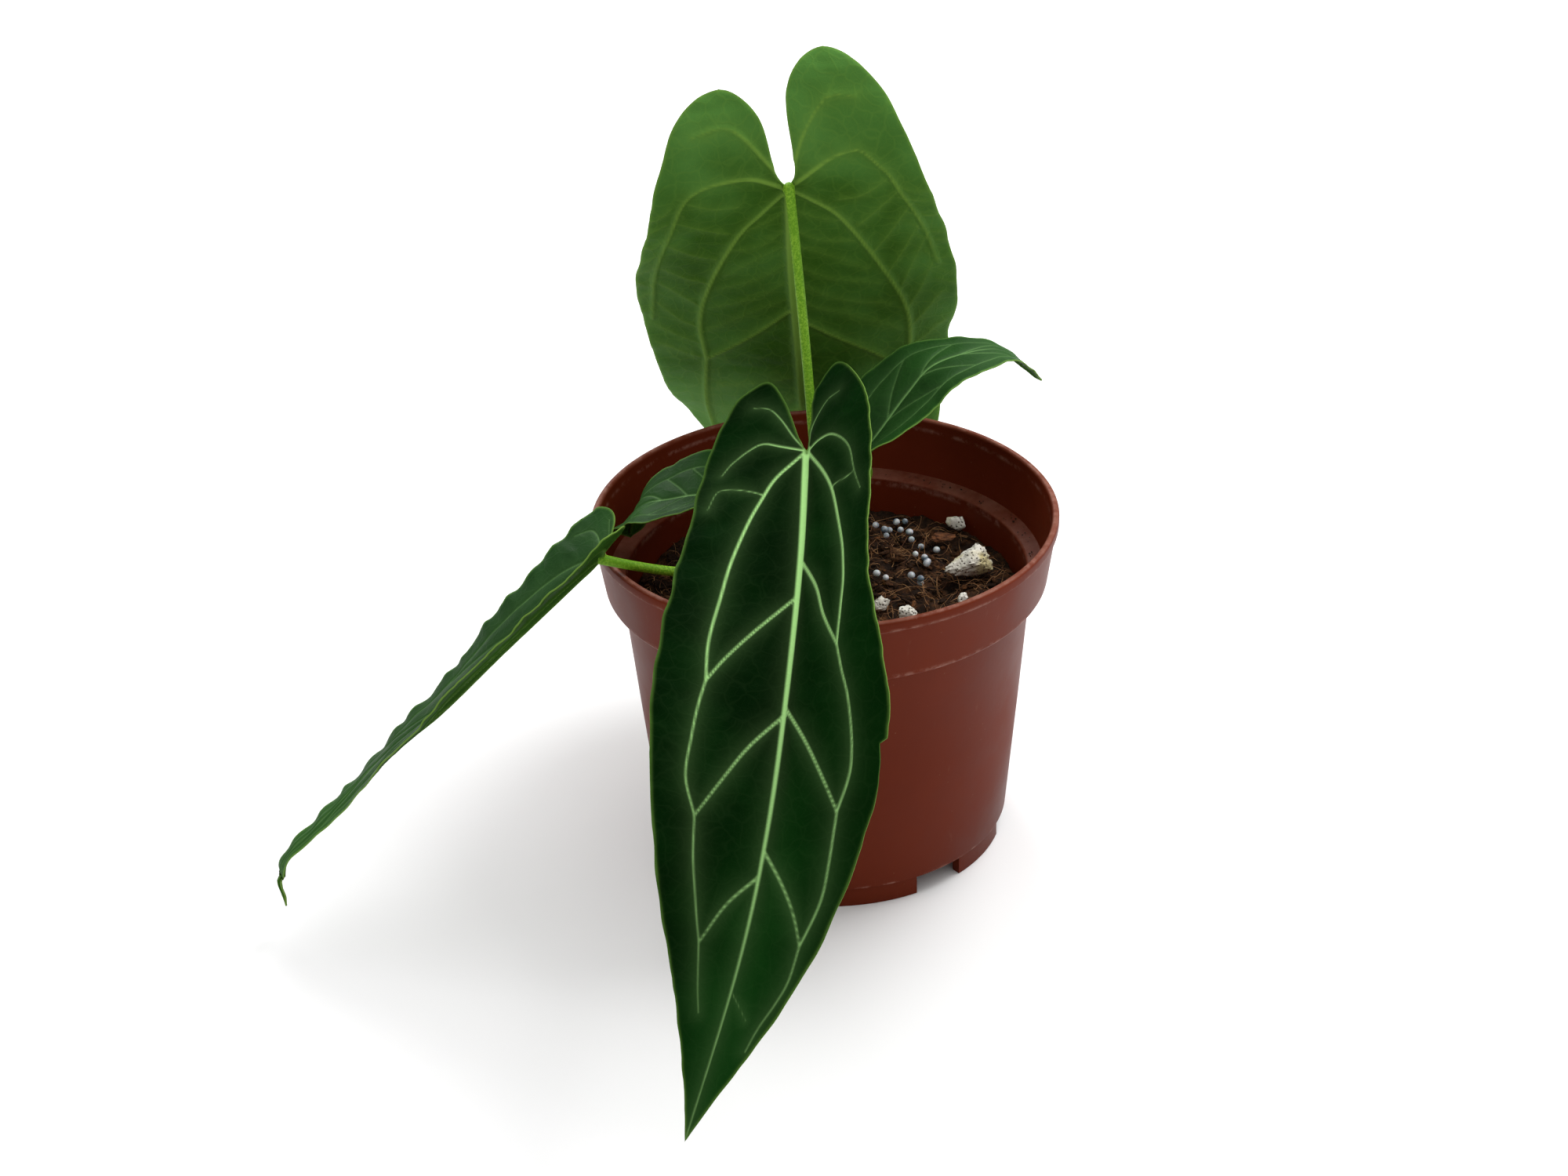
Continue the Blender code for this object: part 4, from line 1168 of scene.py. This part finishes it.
def make_blade(name, spec, settings, skins):
    """A closed blade: drawn flat, shaped along its midrib, then given thickness."""
    blade = Blade(spec)
    obj, margins = flat_blade(name, blade)
    flat = np.empty(len(obj.data.vertices) * 3)
    obj.data.vertices.foreach_get("co", flat)
    u, v = flat[0::3], flat[1::3]
    large = name in ("front", "back")
    veins = {"front": FRONT_VEINS, "back": BACK_VEINS + rungs(BACK_RUNGS)}.get(name)
    rib = ([(-0.5, 0.0), (blade.length * 0.5, 0.0), (blade.length, 0.0)],
           2.5 if large else 1.3, 0.25)
    strength, inside = nearest((veins or plain_veins(blade)) + [rib], u, v)
    away = np.maximum(inside, 0.0)
    edge_distance = np.maximum(nearest(margins, u, v)[1], 0.0)

    depth = settings.vein_depth / MM
    cushion = 1.0 - np.exp(-away / 2.4)
    ripple = np.array([noise.noise(Vector((a * 0.16, b * 0.05, 2.0))) for a, b in zip(u, v)])
    fine = np.array([noise.noise(Vector((a * 0.45, b * 0.25, 5.0))) for a, b in zip(u, v)])
    lift = depth * (cushion - 0.7 * strength)
    lift += np.minimum(away / 6.0, 1.0) * (1.2 * depth * ripple + 0.5 * depth * fine)
    reach, wave = spec["wave"]
    near_edge = np.exp(-edge_distance / (4.0 if large else 3.0))
    reach = np.where(v > 0, reach, 0.35 * reach) if name == "left" else reach
    lift += reach * near_edge * np.sin(u * 2 * math.pi / wave + 1.3 * np.sign(v) + 1.5 * ripple)
    if name == "back":
        lift -= 0.4 * depth * cushion
    tip = np.clip((blade.length - u) / 8.0, 0.0, 1.0)
    places = to_frame(blade.place(u, v, lift * tip))
    obj.data.vertices.foreach_set("co", places.ravel())

    for key, values in (("vein", inside), ("glow", np.exp(-away / 1.9)),
                        # pale: painted light on most blades.
                        ("pale", pale_and_lit_parts(name, blade.length, u, v)),
                        # rim: the margin line, painted sheen.
                        ("rim", np.exp(-(edge_distance / 0.45) ** 2))):
        obj.data.attributes.new(key, "FLOAT", "POINT").data.foreach_set("value", values)
    ridge = np.exp(-(np.abs(v) / 1.1) ** 2) * np.clip(1.2 - u / blade.length, 0, 1) * (u > -1.0)
    thick = BLADE_EDGE + 0.22 * strength + 0.48 * ridge
    thick *= 0.55 + 0.45 * np.clip(edge_distance / 1.0, 0, 1)
    thicken(obj, thick, settings.thickness)
    finish_piece(obj, skins, [f"leaf_blade_{name}"], None)
    obj.data.shade_smooth()


class ANTHURIUM_OT_blades(bpy.types.Operator):
    """Make the five leaf blades with their veins"""

    bl_idname = "anthurium.blades"
    bl_label = "Leaf blades"

    def execute(self, context):
        settings = context.scene.anthurium_blade
        vein = tuple(settings.vein)
        # The colour after the glow in each blade finish is its margin line: painted sheen along the
        # edges.
        velvet = blade_finish("velvet_upper", settings.velvet, vein, 0.045, (0.07, 0.15, 0.025),
                              0.004, (9.0, 4.8, 7.0), 0.01, 0.7)
        satin = blade_finish("satin_upper", settings.satin, (0.16, 0.32, 0.10), 0.08,
                             (0.11, 0.24, 0.045), 0.02, (2.0, 1.9, 1.8), 0.05, 0.5)
        # The back blade's underside: its own paler green, and painted lighter as well for the light
        # that shines through it.
        under = blade_finish("underside", settings.underside, (0.17, 0.31, 0.045), 0.22,
                             (0.13, 0.26, 0.04), 0.12, (2.9, 2.5, 6.0), 0.04, 0.6)
        # A darker copy of the underside finish: painted shade for the undersides of the small
        # blades, which lie in shadow.
        painted_shade_under = blade_finish("painted_shade_underside", (0.014, 0.055, 0.005), (0.11, 0.22, 0.03),
                                  0.10, (0.16, 0.28, 0.05), 0.06, (1.6, 1.6, 1.6), 0.03, 0.6)
        for name, spec in LEAVES.items():
            upper = velvet if name in ("front", "back") else satin
            # The back blade gets the lit underside finish; the others get the painted-shade copy.
            lower = under if name == "back" else painted_shade_under
            make_blade(name, spec, settings, [upper, lower])
        return {"FINISHED"}


class ANTHURIUM_OT_stalks(bpy.types.Operator):
    """Make the five leaf stalks with the swollen joint below each blade"""

    bl_idname = "anthurium.stalks"
    bl_label = "Leaf stalks"

    def execute(self, context):
        green = stalk_finish()
        for name, spec in LEAVES.items():
            blade = Blade(spec)
            point, _, _, up = (row[0] for row in blade.frame(np.array([0.0])))
            turn = math.radians(spec["stalk_at"])
            foot = (STALK_RING * math.cos(turn), STALK_RING * math.sin(turn), STEM_TOP_Z + 0.1)
            turn_in = point - up * spec.get("neck", NECK)
            route = [foot, *spec["stalk"], tuple(turn_in), tuple(point - up * 0.9)]
            swelling = np.interp(np.arange(STALK_STEPS), (0, 6, 18, 66, 78, 84, 89),
                                 (1.1, 1.12, 1.0, 0.97, 1.15, 1.2, 0.95))
            thick = STALK_RADIUS * swelling
            stalk = bars(f"stalk_{name}", [(through(route, STALK_STEPS), thick)], 4)
            finish_piece(stalk, [green], [f"leaf_stalk_{name}"], 70)
        return {"FINISHED"}


class ANTHURIUM_OT_crown(bpy.types.Operator):
    """Make the stem, the dry sheaths and the air roots"""

    bl_idname = "anthurium.crown"
    bl_label = "Stem, sheaths and air roots"

    def execute(self, context):
        self.make_stem()
        papery = dry_finish("dry_sheath", (0.13, 0.07, 0.03), (0.36, 0.25, 0.13), 900.0)
        for name, turn in (("sheath_1", 131), ("sheath_2", -42)):
            self.make_sheath(name, turn, papery)
        rooty = dry_finish("air_root", (0.20, 0.17, 0.10), (0.42, 0.39, 0.28), 1200.0)
        for number, turn in enumerate((-108, 55, 190), start=1):
            ahead = Vector((math.cos(math.radians(turn)), math.sin(math.radians(turn)), 0.0))
            start = ahead * (STEM_RADIUS + 0.2) + Vector((0, 0, 70.2))
            route = [start, start + ahead * 2.6 + Vector((0, 0, -0.2)),
                     start + ahead * 5.4 + Vector((0, 0, -1.2)),
                     start + ahead * 8.1 + Vector((0, 0, -2.2))]
            points = through([tuple(p) for p in route], 30)
            root = bars(f"root_{number}", [(points, np.linspace(0.95, 0.55, 30))], 4)
            finish_piece(root, [rooty], [f"air_root_{number}"], 70)
        return {"FINISHED"}

    def make_stem(self):
        """The short stem, ringed by the scars of old leaves."""
        section = [(0.0, STEM_TOP_Z)]
        section += [(STEM_RADIUS * f, STEM_TOP_Z - 0.3 * f ** 4) for f in np.linspace(0.1, 0.85, 8)]
        for z in np.linspace(STEM_TOP_Z - 0.8, STEM_FOOT_Z + 1.0, 60):
            ring = 0.22 * math.cos(z * 2.3) ** 8
            section.append((STEM_RADIUS - 0.25 + ring, z))
        section += [(STEM_RADIUS - 1.2, STEM_FOOT_Z + 0.2), (0.0, STEM_FOOT_Z + 0.2)]
        stem = object_from(turned(section, 64), "stem_ringed")
        stem.data.transform(Matrix.Translation(AXIS))
        skin = dry_finish("stem_skin", (0.05, 0.09, 0.02), (0.20, 0.22, 0.09), 700.0)
        finish_piece(stem, [skin], ["stem"], 60)

    def make_sheath(self, name, turn, papery):
        """A dry papery sheath left by an older leaf, leaning outwards."""
        bm = bmesh.new()
        grid = bmesh.ops.create_grid(bm, x_segments=36, y_segments=48, size=0.5)
        for vert in grid["verts"]:
            across, rise = vert.co.x * 2.0, vert.co.y + 0.5
            angle = math.radians(turn + across * 24 * (1.0 - 0.85 * rise ** 2))
            crinkle = 0.35 * noise.noise(Vector((across * 2.0, rise * 4.0, turn * 1.0)))
            radius = STEM_RADIUS + 1.4 + 3.0 * rise + 2.0 * rise ** 2 + crinkle * rise
            z = MIX_TOP_Z + 1.2 + 15.4 * rise
            vert.co = in_frame((radius * math.cos(angle), radius * math.sin(angle), z))
        sheath = object_from(bm, f"dry_{name}")
        skin = sheath.modifiers.new("thickness", "SOLIDIFY")
        skin.thickness = SHEATH_THICKNESS * MM
        skin.offset = 0.0
        finish_piece(sheath, [papery], [name], 60)


class ANTHURIUM_OT_stage(bpy.types.Operator):
    """Make the floor, the lights and the camera"""

    bl_idname = "anthurium.stage"
    bl_label = "Floor, light and camera"

    def execute(self, context):
        settings = context.scene.anthurium_stage
        bm = bmesh.new()
        bmesh.ops.create_grid(bm, x_segments=8, y_segments=8, size=4.0)
        floor = object_from(bm, "floor")
        floor.data.materials.append(floor_finish())
        self.make_lights(settings)
        self.make_camera(settings)
        return {"FINISHED"}

    def make_lights(self, settings):
        """A surround that is white above, a large lamp at the right and a weaker one behind."""
        world = bpy.data.worlds.new("studio")
        bpy.context.scene.world = world
        world.use_nodes = True
        tree = world.node_tree
        background = tree.nodes["Background"]
        background.inputs["Strength"].default_value = settings.surround
        sky = tree.nodes.new("ShaderNodeTexCoord")
        height = tree.nodes.new("ShaderNodeSeparateXYZ")
        fade = tree.nodes.new("ShaderNodeMapRange")
        fade.interpolation_type = "SMOOTHSTEP"
        for socket, value in (("From Min", -0.1), ("From Max", 0.95),
                              ("To Min", 0.08), ("To Max", 1.0)):
            fade.inputs[socket].default_value = value
        tree.links.new(sky.outputs["Generated"], height.inputs[0])
        tree.links.new(height.outputs["Z"], fade.inputs["Value"])
        tree.links.new(fade.outputs[0], background.inputs["Color"])
        lamps = (("key", (0.55, 0.35, 0.95), 0.7, settings.key),
                 ("back", (-0.35, 0.9, 0.7), 0.6, settings.key * 0.5))
        for name, place, size, power in lamps:
            light = bpy.data.lights.new(name, "AREA")
            light.shape = "DISK"
            light.size = size
            light.energy = power
            lamp = bpy.data.objects.new(name, light)
            lamp.location = AXIS + Vector(place)
            aim = AXIS + Vector((0, 0, 0.08)) - lamp.location
            lamp.rotation_euler = aim.to_track_quat("-Z", "Y").to_euler()
            bpy.context.scene.collection.objects.link(lamp)
        bpy.context.scene.view_settings.view_transform = "Standard"

    def make_camera(self, settings):
        """The camera, in front of the pot and above it, looking down at it."""
        camera = bpy.data.objects.new("camera", bpy.data.cameras.new("camera"))
        camera.data.lens = settings.lens
        camera.data.sensor_width = 36.0
        camera.data.clip_start = 0.05
        right = Vector((0.99955519, -0.00251268, -0.02971725))
        up = Vector((0.02719647, 0.48570453, 0.87369987))
        back = right.cross(up)
        turn = Matrix((right, up, back)).transposed().to_4x4()
        camera.matrix_world = Matrix.Translation(in_frame((0.0, -788.8, 507.3))) @ turn
        bpy.context.scene.collection.objects.link(camera)
        bpy.context.scene.camera = camera


class ANTHURIUM_PT_panel(bpy.types.Panel):
    """The steps of the potted anthurium"""

    bl_label = "Potted anthurium"
    bl_idname = "ANTHURIUM_PT_panel"
    bl_space_type = "VIEW_3D"
    bl_region_type = "UI"
    bl_category = "Anthurium"

    def draw(self, context):
        for step in STEPS:
            self.layout.operator(step.bl_idname, text=step.bl_label)
        for key, group in SETTINGS.items():
            box = self.layout.box()
            holder = getattr(context.scene, key)
            for name in group.__annotations__:
                box.prop(holder, name)


SETTINGS = {"anthurium_blade": BladeSettings, "anthurium_pot": PotSettings,
            "anthurium_mix": MixSettings, "anthurium_stage": StageSettings}
STEPS = (ANTHURIUM_OT_pot, ANTHURIUM_OT_mix, ANTHURIUM_OT_loose_pieces, ANTHURIUM_OT_blades,
         ANTHURIUM_OT_stalks, ANTHURIUM_OT_crown, ANTHURIUM_OT_stage)


def register():
    """Register the classes and hang the settings on the scene."""
    for made in (*SETTINGS.values(), *STEPS, ANTHURIUM_PT_panel):
        bpy.utils.register_class(made)
    for key, group in SETTINGS.items():
        setattr(bpy.types.Scene, key, bpy.props.PointerProperty(type=group))


def unregister():
    """Take away what register added."""
    for key in SETTINGS:
        delattr(bpy.types.Scene, key)
    for made in reversed((*SETTINGS.values(), *STEPS, ANTHURIUM_PT_panel)):
        bpy.utils.unregister_class(made)


def main():
    """Clear the starting scene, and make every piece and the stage."""
    for old in [o for o in bpy.data.objects if o.name in ("Cube", "Light", "Camera")]:
        bpy.data.objects.remove(old)
    register()
    bpy.ops.anthurium.pot()
    bpy.ops.anthurium.mix()
    bpy.ops.anthurium.loose_pieces()
    bpy.ops.anthurium.blades()
    bpy.ops.anthurium.stalks()
    bpy.ops.anthurium.crown()
    bpy.ops.anthurium.stage()


if __name__ == "__main__":
    main()
